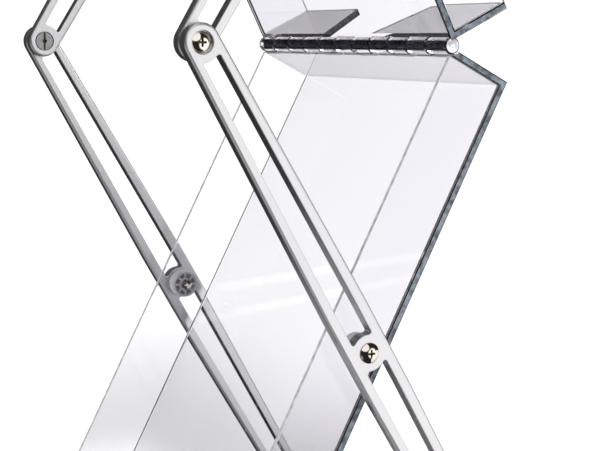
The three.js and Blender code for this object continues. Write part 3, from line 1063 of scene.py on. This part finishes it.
@dataclass
class Pocket:
    """One clear pocket: a bent sheet with hinge knuckles and two side walls."""

    number: int
    room: float = 34.5 * MM
    sheet: float = 4.0 * MM
    wall: float = 3.0 * MM
    off_top: float = 1.0 * MM
    off_front: float = 1.2 * MM
    off_ledge: float = 2.4 * MM
    off_back: float = 0.3 * MM
    notch_back: float = 57.0 * MM
    notch_front: float = 85.0 * MM
    # the notch cut whose normal lies in this range gets painted shade
    notch_slant: tuple[float, float] = (0.8, 0.97)  # least and most Y of its dark cut's normal
    bore: float = 3.35 * MM
    edge: float = 0.35 * MM
    rim: float = 0.7 * MM
    facing: float = 0.9  # least X of the normals that belong to a wall's front edge
    hinge: HingeSizes = field(init=False)
    place: Matrix = field(init=False)

    def __post_init__(self) -> None:
        """Works the pocket's size and place out from the frame's hinge axes."""
        low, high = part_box(f"pocket_sheet_{self.number}")
        self.hinge = HingeSizes(width=high.y - low.y)
        lower, upper = RACK.axis(self.number - 1), RACK.axis(self.number)
        turn = 0.0 if upper.x > lower.x else math.pi
        reach, rise = abs(upper.x - lower.x), upper.z - lower.z
        step = self.room + self.sheet + self.off_front + self.off_back
        span = math.sqrt(reach ** 2 + rise ** 2 - step ** 2)
        lean = math.atan2(reach, rise) + math.atan2(step, span)
        self.place = (Matrix.Translation((lower + upper) / 2) @ Matrix.Rotation(turn, 4, "Z")
                      @ Matrix.Rotation(lean, 4, "Y"))
        self.upper_axis: Point = (-step / 2, span / 2)
        self.lower_axis: Point = (step / 2, -span / 2)
        self.front, self.back = -step / 2 + self.off_front, step / 2 - self.off_back
        self.bottom, self.top = -span / 2 + self.off_ledge, span / 2 - self.off_top
        self.turned_over = turn != 0.0

    def sheet_mesh(self) -> Mesh:
        """The bent sheet with the finger notch and its half of both hinges.

        Returns:
            A closed mesh in the rack's frame.
        """
        hinge, sheet, front, back = self.hinge, self.sheet, self.front, self.back
        upper, lower, top, bottom = self.upper_axis, self.lower_axis, self.top, self.bottom
        inner, half = back - sheet, hinge.width / 2
        under, over = top - sheet, bottom + sheet
        outline = [(front, top), (front, under), (inner, under), (inner, over), (front, over),
                   (front, bottom), (back, bottom), (back, top)]
        body = prism("sheet", [outline], -half, half, self.rim)
        ahead, narrow = front - sheet, self.notch_back / 2
        spread = (self.notch_front - self.notch_back) / 2 * (inner - ahead) / (inner - front)
        wide = narrow + spread
        notch = [(inner, -narrow), (inner, narrow), (ahead, wide), (ahead, -wide)]
        tool = upright_prism("notch", notch, bottom - sheet, bottom + 2 * sheet)
        rooms, barrels = hinge.room(0, upper), hinge.barrels(1, upper)
        body = combined("sheet", body, Combine.CUT, tool, rooms, hinge.room(1, lower))
        body = combined("sheet", body, Combine.JOIN, barrels, hinge.barrels(0, lower))
        body = combined(f"clear_sheet_{self.number}", body, Combine.CUT, *hinge.bore_tools(upper),
                        *hinge.bore_tools(lower))
        self.mark_cut_faces(body)
        return moved(body, self.place)

    def mark_cut_faces(self, mesh: Mesh) -> None:
        """Paints shade on the sheet's cut ends, notch and pin bores, and light on its knuckle ends.

        Args:
            mesh: The sheet, still in the pocket's own frame.
        """
        tiny, hinge = self.edge / 10, self.hinge
        half, inner = hinge.width / 2, self.back - self.sheet
        knuckle_end = half - hinge.end_gap / 2
        toward = 1 if self.turned_over else -1
        least, most = self.notch_slant
        for face in mesh.polygons:
            middle, normal = face.center, face.normal
            out, flat = abs(middle.y), abs(normal.y) > LOOKS_ALONG
            in_notch = (out < self.notch_front / 2 and self.front < middle.x < inner
                        and self.bottom < middle.z < self.bottom + self.sheet)
            notch = in_notch and abs(normal.z) < RUNS_ALONG and least < toward * normal.y < most
            bore = abs(normal.y) < RUNS_ALONG and out < half - hinge.pin_inset and any(
                math.dist((middle.x, middle.z), axis) < hinge.bore + tiny
                for axis in (self.upper_axis, self.lower_axis))
            if flat and abs(out - half) < tiny:
                # the cut ends get painted shade
                face.material_index = 1
            elif notch or bore:
                # the notch cut that faces one way and the pin bores get painted shade
                face.material_index = 2
            else:
                # the knuckle ends get painted light; the rest stays clear
                face.material_index = 3 if flat and abs(out - knuckle_end) < tiny else 0

    def wall_mesh(self, side: Side) -> Mesh:
        """A side wall with its pivot hole.

        Args:
            side: The side of the rack.

        Returns:
            A closed mesh in the rack's frame.
        """
        direction = -side.value if self.turned_over else side.value
        outside = direction * self.hinge.width / 2
        low, high = sorted((outside, outside - direction * self.wall))
        glued = self.sheet + SKIN
        outline = rectangle(self.front, self.back - glued, self.bottom + glued, self.top - glued)
        mesh = prism("wall", [outline, hole(circle((0, 0), self.bore))], low, high, self.edge)
        for face in mesh.polygons:
            ahead = face.center.x < self.front + self.edge
            # the front edge gets painted shade
            face.material_index = int(ahead and face.normal.x < -self.facing)
        return moved(mesh, self.place)

    def build(self, finishes: Finishes) -> Iterable[Piece]:
        """Makes the pocket's pieces.

        Args:
            finishes: The rack's materials.

        Returns:
            The sheet and both walls.
        """
        yield Piece(f"clear_sheet_{self.number}", f"pocket_sheet_{self.number}", self.sheet_mesh(),
                    (finishes.acrylic, finishes.cut_edge, finishes.notch_edge,
                     finishes.knuckle_end))
        for side in Side:
            ending = f"wall_{self.number}_{side.label}"
            yield Piece(f"side_{ending}", f"pocket_{ending}", self.wall_mesh(side),
                        (finishes.acrylic, finishes.pale_edge))


@dataclass
class HingePins:
    """The steel pins through the corner hinges."""

    hinge: HingeSizes
    chamfer: float = 0.2 * MM

    def build(self, finishes: Finishes) -> Iterable[Piece]:
        """Makes every pin.

        Args:
            finishes: The rack's materials.

        Returns:
            The five pins.
        """
        hinge = self.hinge
        half = hinge.width / 2 - hinge.pin_inset
        for level in range(RACK.STAGES + 1):
            ends = {0: "base_hinge_pin", RACK.STAGES: "top_hinge_pin"}
            node = ends.get(level, f"hinge_pin_{level}")
            axis = RACK.axis(level)
            pin = rod("pin", hinge.pin, -half, half, self.chamfer, PIN_ROUND)
            mesh = on_axis(pin, (axis.x, axis.z))
            yield Piece(f"steel_pin_{level}", node, mesh, (finishes.steel,))


@dataclass
class Arm:
    """One slotted arm, leaning between its two end pivots."""

    number: int
    side: Side
    end_radius: float = 9.3 * MM
    middle_half: float = 12.3 * MM
    parallel_half: float = 26.0 * MM
    slot_end_half: float = 4.8 * MM
    slot_middle_half: float = 6.3 * MM
    eye: float = 9.7 * MM
    fillet: float = 1.2 * MM
    bore: float = 3.35 * MM
    recess: float = 5.65 * MM
    recess_depth: float = 2.2 * MM
    rim: float = 1.4 * MM
    slot_rim: float = 0.4 * MM

    def __post_init__(self) -> None:
        """Reads the arm's ends and its layer from the frame."""
        self.node = f"arm_{self.number}_{self.side.label}"
        low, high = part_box(self.node)
        self.low, self.high = low.y, high.y
        lower, upper = RACK.arm_ends(self.number, self.side)
        self.length = math.hypot(upper.x - lower.x, upper.z - lower.z)
        self.lean = math.atan2(upper.x - lower.x, upper.z - lower.z)
        middle, turn = (lower + upper) / 2, Matrix.Rotation(self.lean, 4, "Y")
        self.place = Matrix.Translation((middle.x, 0, middle.z)) @ turn
        self.outer_layer = self.number % 2 == 1

    def outline(self) -> Loop:
        """The arm's outline: a straight middle that tapers onto two round ends.

        Returns:
            The closed outline in the arm's own X and Z, anticlockwise.
        """
        half, shoulder = self.length / 2, (self.middle_half, self.parallel_half)
        distance = math.hypot(shoulder[0], half - shoulder[1])
        touch = math.atan2(shoulder[1] - half, shoulder[0]) + math.acos(self.end_radius / distance)
        round_end = arc((0, half), self.end_radius, touch, math.pi - touch, ARM_END_STEPS)
        upper = [shoulder, *round_end, (-shoulder[0], shoulder[1])]
        return upper + [(-x, -z) for x, z in upper]

    def slot_corner(self, eye_height: float, away: int, foot: Point, angle: float) -> Loop:
        """Half of a slot end: round the eye, then through a fillet onto the slot's side.

        Args:
            eye_height: Where the eye's centre lies along the arm.
            away: 1 where the slot leaves the eye upwards, -1 downwards.
            foot: A point on the slot's side.
            angle: The direction of that side.

        Returns:
            The points from the middle of the slot's end to its side.
        """
        along = Vector((math.cos(angle), math.sin(angle)))
        inward = Vector((-along.y, along.x))
        if inward.x > 0:
            inward.negate()
        start = Vector((foot[0], foot[1] - eye_height)) + inward * self.fillet
        reach, across = self.eye + self.fillet, start.dot(along)
        sign = away * math.copysign(1.0, along.y)
        travel = -across + sign * math.sqrt(across ** 2 - start.length_squared + reach ** 2)
        centre = start + along * travel
        to_eye = math.atan2(centre.y, centre.x)
        on_eye = arc((0, eye_height), self.eye, away * math.pi / 2, to_eye, CORNER_STEPS)
        back = to_eye - math.pi if away > 0 else to_eye + math.pi
        side_angle = math.atan2(-inward.y, -inward.x)
        corner = (centre.x, centre.y + eye_height)
        return on_eye[:-1] + arc(corner, self.fillet, back, side_angle, CORNER_STEPS)

    def slot(self) -> Loop:
        """The slot between the arm's middle and its upper end.

        Returns:
            The closed outline, anticlockwise.
        """
        half = self.length / 2
        taper = math.atan2(half - self.parallel_half, self.slot_end_half - self.slot_middle_half)
        lower = self.slot_corner(0, 1, (self.slot_middle_half, 0), math.pi / 2)
        upper = self.slot_corner(half, -1, (self.slot_end_half, half), taper)
        right = [*lower, (self.slot_middle_half, self.parallel_half), *reversed(upper)]
        return right + [(-x, z) for x, z in reversed(right[1:-1])]

    def mesh(self) -> Mesh:
        """The finished arm, with slots, bores and the recesses of its end pivots.

        Returns:
            A closed mesh in the rack's frame.
        """
        half, slot = self.length / 2, self.slot()
        bores = [hole(circle((0, z), self.bore)) for z in (-half, 0, half)]
        loops = [self.outline(), hole(slot), hole([(-x, -z) for x, z in slot]), *bores]
        body = prism(self.node, loops, self.low, self.high, self.rim, self.slot_rim)
        outward = self.side.value if self.outer_layer else -self.side.value
        face = self.high if outward > 0 else self.low
        floor, lip = face - outward * self.recess_depth, face - outward * self.slot_rim / 2
        beyond, mouth = face + outward * self.slot_rim, self.recess + self.slot_rim / 2
        profile = [(0, floor), (self.recess, floor), (self.recess, lip), (mouth, face),
                   (mouth, beyond), (0, beyond)]
        tools = [on_axis(turned("recess", profile), (0, z)) for z in (-half, half)]
        return moved(combined(self.node, body, Combine.CUT, *tools), self.place)

    def build(self, finishes: Finishes) -> Iterable[Piece]:
        """Makes the arm.

        Args:
            finishes: The rack's materials.

        Returns:
            One piece.
        """
        metal = finishes.arm(f"anodised_{self.node}", self.lean)
        yield Piece(f"slotted_{self.node}", self.node, self.mesh(), (metal,))


@dataclass
class PivotHardware:
    """The screws, barrel nuts, spacers and rollers of the side pivots.

    Each shape is made on the Y axis with its head towards +Y, then turned to its own side.
    """

    shank: float = 3.0 * MM
    pan_radius: float = 5.3 * MM
    pan_height: float = 2.2 * MM
    elbow_radius: float = 5.3 * MM
    elbow_height: float = 1.9 * MM
    head_rim: float = 0.3 * MM
    drive_depth: float = 1.6 * MM
    drive_length: float = 5.8 * MM
    drive_width: float = 1.5 * MM
    drive_taper: float = 0.55
    tip: float = 2.2 * MM
    nut_flange: float = 1.9 * MM
    nut_slot: float = 1.3 * MM
    nut_slot_depth: float = 1.0 * MM
    nut_centre: float = 1.4 * MM
    spacer_radius: float = 8.2 * MM
    spacer_rim: float = 1.5 * MM
    spacer_hub: float = 4.2 * MM
    spacer_bore: float = 3.35 * MM
    spacer_floor: float = 2.0 * MM
    spacer_rib: float = 1.1 * MM
    spacer_ribs: int = 8
    roller_radius: float = 11.0 * MM
    roller_rim: float = 0.8 * MM
    roller_cap: float = 5.3 * MM
    roller_stub_gap: float = 0.3 * MM
    # the ring in a roller's face: shares of its radius, and how many rims deep
    roller_groove: tuple[tuple[float, int], ...] = ((0.7, 0), (0.66, 1), (0.4, 1), (0.36, 0))

    def drive(self, top: float) -> Mesh:
        """The cross recess, narrower at its foot.

        Args:
            top: The height of the head.

        Returns:
            A tool to cut away.
        """
        long, wide = self.drive_length / 2, self.drive_width / 2
        cross = [(wide, wide), (wide, long), (-wide, long)]
        for _ in range(3):
            cross += [(-z, x) for x, z in cross[-3:]]
        tool = prism("drive", [cross], top - self.drive_depth, top + self.drive_depth)
        for vertex in tool.vertices:
            if vertex.co.y < top:
                vertex.co.x *= self.drive_taper
                vertex.co.z *= self.drive_taper
        return tool

    def screw(self, radius: float, height: float, length: float) -> Mesh:
        """A domed cross-head screw, head above y = 0 and shank below.

        Args:
            radius: The head's radius.
            height: The head's height.
            length: The shank's length.

        Returns:
            A closed mesh.
        """
        rise = height - self.head_rim
        ball = (radius ** 2 + rise ** 2) / (2 * rise)
        across = [radius * (1 - i / DOME_STEPS) for i in range(DOME_STEPS)]
        dome = [(r, height - ball + math.sqrt(ball ** 2 - r ** 2)) for r in across]
        shank, soft = self.shank, self.head_rim / 3
        profile = [(0, -length), (shank - self.tip, -length), (shank, self.tip - length),
                   (shank, 0), (radius - soft, 0), (radius, soft), *dome, (0, height)]
        mesh = combined("screw", turned("screw", profile), Combine.CUT, self.drive(height))
        for face in mesh.polygons:
            out = math.hypot(face.center.x, face.center.z)
            if out > self.drive_length / 2:
                face.material_index = 0
                continue
            surface = height - ball + math.sqrt(ball ** 2 - out ** 2)
            # faces inside the cross recess get the painted shade
            in_drive = 0 < face.center.y < surface - self.head_rim / 5
            face.material_index = int(in_drive)
        return mesh

    def barrel_nut(self, length: float) -> Mesh:
        """A slotted barrel nut, its face at y = 0.

        Args:
            length: From its face to the barrel's end.

        Returns:
            A closed mesh.
        """
        radius, rim = self.elbow_radius, self.head_rim
        profile = [(0, -length), (self.shank, -length), (self.shank, -self.nut_flange),
                   (radius, -self.nut_flange), (radius, -rim / 2), (radius - rim / 2, 0), (0, 0)]
        half = self.nut_slot / 2
        slot = block(-half, half, -self.nut_slot_depth, rim, -2 * radius, 2 * radius)
        depth = 2 * self.nut_slot_depth
        centre = rod("centre", self.nut_centre, -depth, rim)
        mesh = combined("nut", turned("nut", profile), Combine.CUT, slot, centre)
        for face in mesh.polygons:
            x, y, z = face.center
            # faces deep in the centre hole get the painted shade
            deep = -depth - rim < y < -rim and math.hypot(x, z) < radius - rim
            face.material_index = int(deep and abs(x) < self.nut_centre + rim)
        return mesh

    def spacer(self, length: float) -> Mesh:
        """A ribbed spacer from y = 0 at the pocket wall to the arm.

        Args:
            length: Its length.

        Returns:
            A closed mesh.
        """
        wide, soft = self.spacer_radius, self.spacer_rim / 5
        trough, floor = wide - self.spacer_rim, length - self.spacer_floor
        bore, hub, half = self.spacer_bore, self.spacer_hub, self.spacer_rib / 2
        shell = [(bore, 0), (hub, 0), (hub, floor), (trough, floor), (trough, soft),
                 (trough + soft, 0), (wide - soft, 0), (wide, soft), (wide, length - soft),
                 (wide - soft, length), (bore, length)]
        rib = block(hub - soft, trough + soft, soft, floor + soft, -half, half)
        ribs = RING.made(rib, count=self.spacer_ribs)
        body = turned("spacer", shell, FINE_ROUND, ring=True)
        return combined("spacer", body, Combine.JOIN, ribs)

    def roller(self, width: float, arm: float, recess: float) -> Mesh:
        """A guide roller: the wheel above y = 0, its stub and cap through the arm below.

        Args:
            width: The wheel's width.
            arm: The arm's thickness.
            recess: The depth of the arm's end recess.

        Returns:
            A closed mesh.
        """
        rim, wheel, gap = self.roller_rim, self.roller_radius, self.roller_stub_gap
        seat, cap, shank = -arm + recess - 2 * gap, self.roller_cap, self.shank
        groove = [(share * wheel, width - rim * deep) for share, deep in self.roller_groove]
        profile = [(0, -arm), (cap - gap, -arm), (cap, gap - arm), (cap, seat), (shank, seat),
                   (shank, gap), (wheel - rim, gap), (wheel, gap + rim), (wheel, width - rim),
                   (wheel - rim, width), *groove, (0, width)]
        return turned("roller", profile, FINE_ROUND)

    @staticmethod
    def length(node: str) -> float:
        """A node's length along Y."""
        low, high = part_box(node)
        return high.y - low.y

    @staticmethod
    def below(node: str, side: Side, height: float) -> Vector:
        """A place on a node's axis.

        Args:
            node: The node.
            side: The side of the rack.
            height: How far the place lies in from the node's outer end.

        Returns:
            The place.
        """
        low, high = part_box(node)
        place = RACK.centre(node)
        place.y = high.y - height if side is Side.FAR else low.y + height
        return place

    @staticmethod
    def placed(mesh: Mesh, side: Side, place: Vector, inwards: bool = False) -> Mesh:
        """Turns a piece to its side of the rack and puts it in place.

        Args:
            mesh: The piece on the Y axis.
            side: The side of the rack.
            place: Where its y = 0 plane and axis go.
            inwards: True where its head faces the middle of the rack.

        Returns:
            The same mesh, moved.
        """
        over = (side is Side.NEAR) != inwards
        turn = Matrix.Rotation(math.pi, 4, "Z") if over else Matrix.Identity(4)
        return moved(mesh, Matrix.Translation(place) @ turn)

    def build(self, finishes: Finishes) -> Iterable[Piece]:
        """Makes all the pivot pieces.

        Args:
            finishes: The rack's materials.

        Returns:
            Screws, nuts, spacers and rollers.
        """
        for side in Side:
            for number in range(1, RACK.STAGES + 1):
                yield from self.stage_pieces(number, side, finishes)
            for level in range(1, RACK.STAGES):
                yield from self.elbow_pieces(level, side, finishes)
            for end, number in (("base", 1), ("top", RACK.STAGES)):
                yield self.roller_piece(end, number, side, finishes)

    def stage_pieces(self, number: int, side: Side, finishes: Finishes) -> Iterable[Piece]:
        """The screw, and under an outer arm the spacer, in the middle of one arm.

        Args:
            number: The stage.
            side: The side of the rack.
            finishes: The rack's materials.

        Returns:
            One or two pieces.
        """
        node = f"pivot_screw_{number}_{side.label}"
        mesh = self.screw(self.pan_radius, self.pan_height, self.length(node) - self.pan_height)
        mesh = self.placed(mesh, side, self.below(node, side, self.pan_height))
        yield Piece(f"cross_head_screw_{number}_{side.label}", node, mesh,
                    (finishes.nickel, finishes.drive))
        if number % 2:
            node = f"pivot_spacer_{number}_{side.label}"
            length = self.length(node)
            mesh = self.placed(self.spacer(length), side, self.below(node, side, length))
            yield Piece(f"ribbed_spacer_{number}_{side.label}", node, mesh, (finishes.plastic,))

    def elbow_pieces(self, level: int, side: Side, finishes: Finishes) -> Iterable[Piece]:
        """The screw and the barrel nut of one elbow.

        Args:
            level: The elbow's level.
            side: The side of the rack.
            finishes: The rack's materials.

        Returns:
            Both pieces.
        """
        node, height = f"elbow_screw_{level}_{side.label}", self.elbow_height
        mesh = self.screw(self.elbow_radius, height, self.length(node) - height)
        mesh = self.placed(mesh, side, self.below(node, side, height))
        yield Piece(f"elbow_cross_head_{level}_{side.label}", node, mesh,
                    (finishes.nickel, finishes.drive))
        node = f"elbow_nut_{level}_{side.label}"
        length = self.length(node)
        mesh = self.barrel_nut(length)
        mesh = self.placed(mesh, side, self.below(node, side, length), inwards=True)
        yield Piece(f"slotted_barrel_nut_{level}_{side.label}", node, mesh,
                    (finishes.zinc, finishes.drive))

    def roller_piece(self, end: str, number: int, side: Side, finishes: Finishes) -> Piece:
        """The roller at the free end of the lowest or the highest arm.

        Args:
            end: "base" or "top".
            number: The arm's stage.
            side: The side of the rack.
            finishes: The rack's materials.

        Returns:
            One piece.
        """
        node = f"{end}_roller_{side.label}"
        low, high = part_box(node)
        arm_low, arm_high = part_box(f"arm_{number}_{side.label}")
        arm = arm_high.y - arm_low.y
        inwards = number % 2 == 1
        towards_far = (side is Side.FAR) != inwards
        place = RACK.centre(node)
        place.y = arm_high.y if towards_far else arm_low.y
        width = (high.y - arm_high.y) if towards_far else (arm_low.y - low.y)
        mesh = self.placed(self.roller(width, arm, Arm.recess_depth), side, place, inwards)
        return Piece(f"guide_roller_{end}_{side.label}", node, mesh, (finishes.plastic,))


@dataclass
class EndPanel:
    """The base panel or the top panel, with its roller channels, hinge bar and feet."""

    end: str
    hinge: HingeSizes
    thickness: float = 5.0 * MM
    corner: float = 14.0 * MM
    margin: float = 3.0 * MM
    rib: float = 2.0 * MM
    rib_gap: float = 1.0 * MM
    stop_gap: float = 0.6 * MM
    edge: float = 1.2 * MM
    bar: float = 7.0 * MM
    foot_corner: float = 8.0 * MM
    foot_groove: float = 1.4 * MM
    foot_pitch: float = 6.0 * MM

    def __post_init__(self) -> None:
        """Reads the panel's places from the frame."""
        self.node = f"{self.end}_panel"
        self.low, self.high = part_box(self.node)
        self.base = self.end == "base"
        self.level = 0 if self.base else RACK.STAGES

    def panel_mesh(self) -> Mesh:
        """The plate with the four guide ribs and their stops.

        Returns:
            A closed mesh in the rack's frame.
        """
        low, high = self.low, self.high
        length, width = high.x - low.x, high.y - low.y
        outline = rounded_rectangle(length, width, self.corner)
        ribs_high = high.z - low.z - self.thickness
        plate = upright_prism("plate", outline, -self.thickness, 0, self.edge)
        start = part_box(f"{self.end}_roller_far")[0].x - self.stop_gap
        stop = high.x - self.margin + self.rib_gap
        root = -self.thickness / 2
        inner = self.hinge.width / 2 - self.rib_gap
        outer = width / 2 - self.margin - self.rib
        soft = self.rib / 5
        for side in (-1, 1):
            for y in (inner - self.rib, outer):
                a, b = sorted((side * y, side * (y + self.rib)))
                bar = block(start - self.rib, stop, a, b, root, ribs_high, soft)
                plate = combined("plate", plate, Combine.JOIN, bar)
            a, b = sorted((side * (inner - soft), side * (outer + soft)))
            for x in (start - self.rib, stop - self.rib):
                bar = block(x, x + self.rib, a, b, root, ribs_high)
                plate = combined("plate", plate, Combine.JOIN, bar)
        flip = Matrix.Identity(4) if self.base else Matrix.Rotation(math.pi, 4, "X")
        floor = low.z + self.thickness if self.base else high.z - self.thickness
        return moved(plate, Matrix.Translation(((low.x + high.x) / 2, 0, floor)) @ flip)

    def bar_mesh(self) -> Mesh:
        """The bar that carries the panel's knuckles.

        Returns:
            A closed mesh in the rack's frame.
        """
        low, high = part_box(f"{self.end}_hinge_bar")
        axis = RACK.axis(self.level)
        half, width = self.bar / 2, self.hinge.width / 2
        foot = low.z if self.base else high.z
        a, b = sorted((foot, axis.z))
        own, other = (1, 0) if self.base else (0, 1)
        bar = block(axis.x - half, axis.x + half, -width, width, a, b, self.rib / 5)
        centre = (axis.x, axis.z)
        bar = combined("bar", bar, Combine.CUT, self.hinge.room(other, centre))
        bar = combined("bar", bar, Combine.JOIN, self.hinge.barrels(own, centre))
        return combined("bar", bar, Combine.CUT, *self.hinge.bore_tools(centre))

    def foot_mesh(self, node: str) -> Mesh:
        """A rubber strip with cross grooves along its sides.

        Args:
            node: The strip's node.

        Returns:
            A closed mesh in the rack's frame.
        """
        low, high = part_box(node)
        middle = (low + high) / 2
        width, length = high.x - low.x, high.y - low.y
        outline = rounded_rectangle(width, length, self.foot_corner)
        strip = upright_prism("strip", outline, low.z, high.z, self.foot_groove / 2)
        count = int((length - 2 * self.foot_corner) / self.foot_pitch)
        start = -(count - 1) * self.foot_pitch / 2
        groove, half = self.foot_groove, self.foot_groove / 2
        for side in (-1, 1):
            a, b = sorted((side * (width / 2 - half), side * (width / 2 + groove)))
            cutter = block(a, b, start - half, start + half, low.z - groove, high.z + groove)
            row = ROW.made(cutter, count=count, pitch=self.foot_pitch)
            strip = combined("strip", strip, Combine.CUT, row)
        return moved(strip, Matrix.Translation((middle.x, middle.y, 0)))

    def build(self, finishes: Finishes) -> Iterable[Piece]:
        """Makes the panel's pieces.

        Args:
            finishes: The rack's materials.

        Returns:
            The panel, its hinge bar and, under the base, both foot strips.
        """
        yield Piece(f"{self.end}_ribbed_panel", self.node, self.panel_mesh(), (finishes.panel,))
        yield Piece(f"{self.end}_knuckle_bar", f"{self.end}_hinge_bar", self.bar_mesh(),
                    (finishes.panel,))
        if self.base:
            for label in ("left", "right"):
                node = f"foot_strip_{label}"
                yield Piece(f"rubber_strip_{label}", node, self.foot_mesh(node), (finishes.rubber,))


# ---- Studio --------------------------------------------------------------------------------------


@dataclass(frozen=True)
class SoftBox:
    """A bright patch in what shiny pieces reflect, round one direction."""

    towards: Colour
    start: float
    full: float
    brightness: float


@dataclass(frozen=True)
class Lamp:
    """A square light, by its place from the middle of the rack."""

    name: str
    place: Colour
    size: float
    power: float


@dataclass(frozen=True)
class Studio:
    """The camera, the pale floor and the soft light."""

    aimed_level: int = 3
    offset: tuple[float, float, float] = (-0.2791, -0.7735, -0.0014)
    yaw: float = math.radians(27.14)
    pitch: float = math.radians(-6.8)
    roll: float = math.radians(0.70)
    lens: float = 90.05
    sensor: float = 36.0
    view_end: float = 200.0
    floor_size: float = 60.0
    behind_clear: float = 0.97
    brightness: float = 1.16
    room: float = 0.02
    room_colour: Colour = (1.0, 0.985, 0.97)
    boxes: tuple[SoftBox, ...] = (
        SoftBox((0.56, -0.82, -0.14), 0.835, 0.90, 1.25),
        SoftBox((-0.25, -0.80, 0.57), 0.87, 0.89, 1.0),
        SoftBox((0.86, -0.25, -0.45), 0.87, 0.89, 1.0),
        SoftBox((-0.75, -0.20, -0.63), 0.80, 0.92, 0.42),
        SoftBox((0.0, 0.0, 1.0), 0.90, 0.97, 0.8),
    )
    lamps: tuple[Lamp, ...] = (
        Lamp("key", (1.3, -2.2, 1.6), 1.6, 26.0),
        Lamp("fill", (-2.4, -0.6, 0.8), 1.8, 10.0),
    )

    def camera(self) -> None:
        """Makes the camera beside the elbow that it looks past."""
        elbow = RACK.centre(f"elbow_screw_{self.aimed_level}_near")
        level = math.cos(self.pitch)
        forward = Vector((math.sin(self.yaw) * level, math.cos(self.yaw) * level,
                          math.sin(self.pitch)))
        right = Vector((math.cos(self.yaw), -math.sin(self.yaw), 0.0))
        up = right.cross(forward)
        across = right * math.cos(self.roll) + up * math.sin(self.roll)
        above = up * math.cos(self.roll) - right * math.sin(self.roll)
        turn = Matrix((across, above, -forward)).transposed().to_4x4()
        data = bpy.data.cameras.new("camera")
        data.lens = self.lens
        data.sensor_width = self.sensor
        data.clip_end = self.view_end
        obj = shown("camera", data)
        place = Vector((elbow.x, 0.0, elbow.z)) + Vector(self.offset)
        obj.matrix_world = Matrix.Translation(place) @ turn
        bpy.context.scene.camera = obj

    def floor(self) -> None:
        """Lays the pale floor."""
        half = self.floor_size / 2
        points = [(x, y, 0.0) for x, y in rectangle(-half, half, -half, half)]
        mesh = to_mesh("floor", points, [(0, 1, 2, 3)])
        finish = FinishNodes("pale_floor")
        finish.set(Roughness=0.9, Specular_IOR_Level=0.1, Emission_Strength=0.25)
        finish.set(Base_Color=(0.8, 0.8, 0.8, 1.0), Emission_Color=(1.0, 1.0, 1.0, 1.0))
        mesh.materials.append(finish.material)
        obj = shown("floor", mesh)
        obj.visible_glossy = False
        obj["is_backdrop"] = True

    def world(self) -> None:
        """Surrounds the rack with white, and gives reflections a dim room with soft boxes."""
        world = bpy.data.worlds.new("studio")
        world.use_nodes = True
        bpy.context.scene.world = world
        graph = Graph(world.node_tree)
        path = graph.add("ShaderNodeLightPath", {}).outputs
        direct = graph.math("SUBTRACT", path["Is Glossy Ray"], path["Is Transmission Ray"])
        bounced = graph.math("GREATER_THAN", path["Glossy Depth"], 0.5)
        behind = graph.math("MULTIPLY", bounced, self.behind_clear)
        mirrored = graph.math("MAXIMUM", direct, behind, clamp=True)
        white = {"Color": (1.0, 1.0, 1.0, 1.0), "Strength": self.brightness}
        dim = {"Color": (*self.room_colour, 1.0), "Strength": self.reflections(graph)}
        seen, reflected = (graph.add("ShaderNodeBackground", inputs).outputs["Background"]
                           for inputs in (white, dim))
        mix = graph.add("ShaderNodeMixShader", {0: mirrored, 1: seen, 2: reflected})
        surface = world.node_tree.nodes["World Output"].inputs["Surface"]
        graph.tree.links.new(mix.outputs["Shader"], surface)

    def reflections(self, graph: Graph) -> Socket:
        """Builds the brightness of what shiny pieces reflect.

        Args:
            graph: The world's nodes.

        Returns:
            The brightness in the direction looked in.
        """
        direction = graph.add("ShaderNodeTexCoord", {}).outputs["Generated"]
        total: float | Socket = self.room
        for box in self.boxes:
            inputs = {0: direction, 1: Vector(box.towards).normalized()}
            dot = graph.add("ShaderNodeVectorMath", inputs, operation="DOT_PRODUCT")
            glow = graph.ramp(dot.outputs["Value"], box.start, box.full, 0.0, box.brightness,
                              smooth=True)
            total = graph.math("MAXIMUM", glow, total)
        return total

    def lights(self) -> None:
        """Hangs two soft lamps that give the plastics some shape."""
        middle = RACK.axis(2)
        for lamp in self.lamps:
            data = bpy.data.lights.new(lamp.name, "AREA")
            data.size = lamp.size
            data.energy = lamp.power
            spot = middle + Vector(lamp.place)
            turn = (middle - spot).to_track_quat("-Z", "Y").to_matrix().to_4x4()
            obj = shown(lamp.name, data)
            obj.matrix_world = Matrix.Translation(spot) @ turn
            obj.visible_glossy = False

    def build(self) -> None:
        """Sets the whole studio up."""
        self.camera()
        self.floor()
        self.world()
        self.lights()
        bpy.context.scene.view_settings.view_transform = "Standard"


# ---- Assembly ------------------------------------------------------------------------------------


def write_sizes() -> None:
    """Works out the frame's box and the finished model's box.
    """
    both = {"cad": CAD_BOX, "visual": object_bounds()}
    boxes = {name: [list(corner) for corner in box] for name, box in both.items()}


def main() -> None:
    """Builds the studio and every sub-assembly, in order from the floor up."""
    logging.basicConfig(level=logging.INFO, format="%(name)s: %(message)s")
    Studio().build()
    finishes = Finishes()
    numbers = range(1, RACK.STAGES + 1)
    pockets = [Pocket(number) for number in numbers]
    hinge = pockets[0].hinge
    arms = [Arm(number, side) for number in numbers for side in Side]
    assemblies = [EndPanel("base", hinge), *pockets, *arms, PivotHardware(), HingePins(hinge),
                  EndPanel("top", hinge)]
    for assembly in assemblies:
        for piece in assembly.build(finishes):
            piece.install()
    write_sizes()


if __name__ == "__main__":
    main()
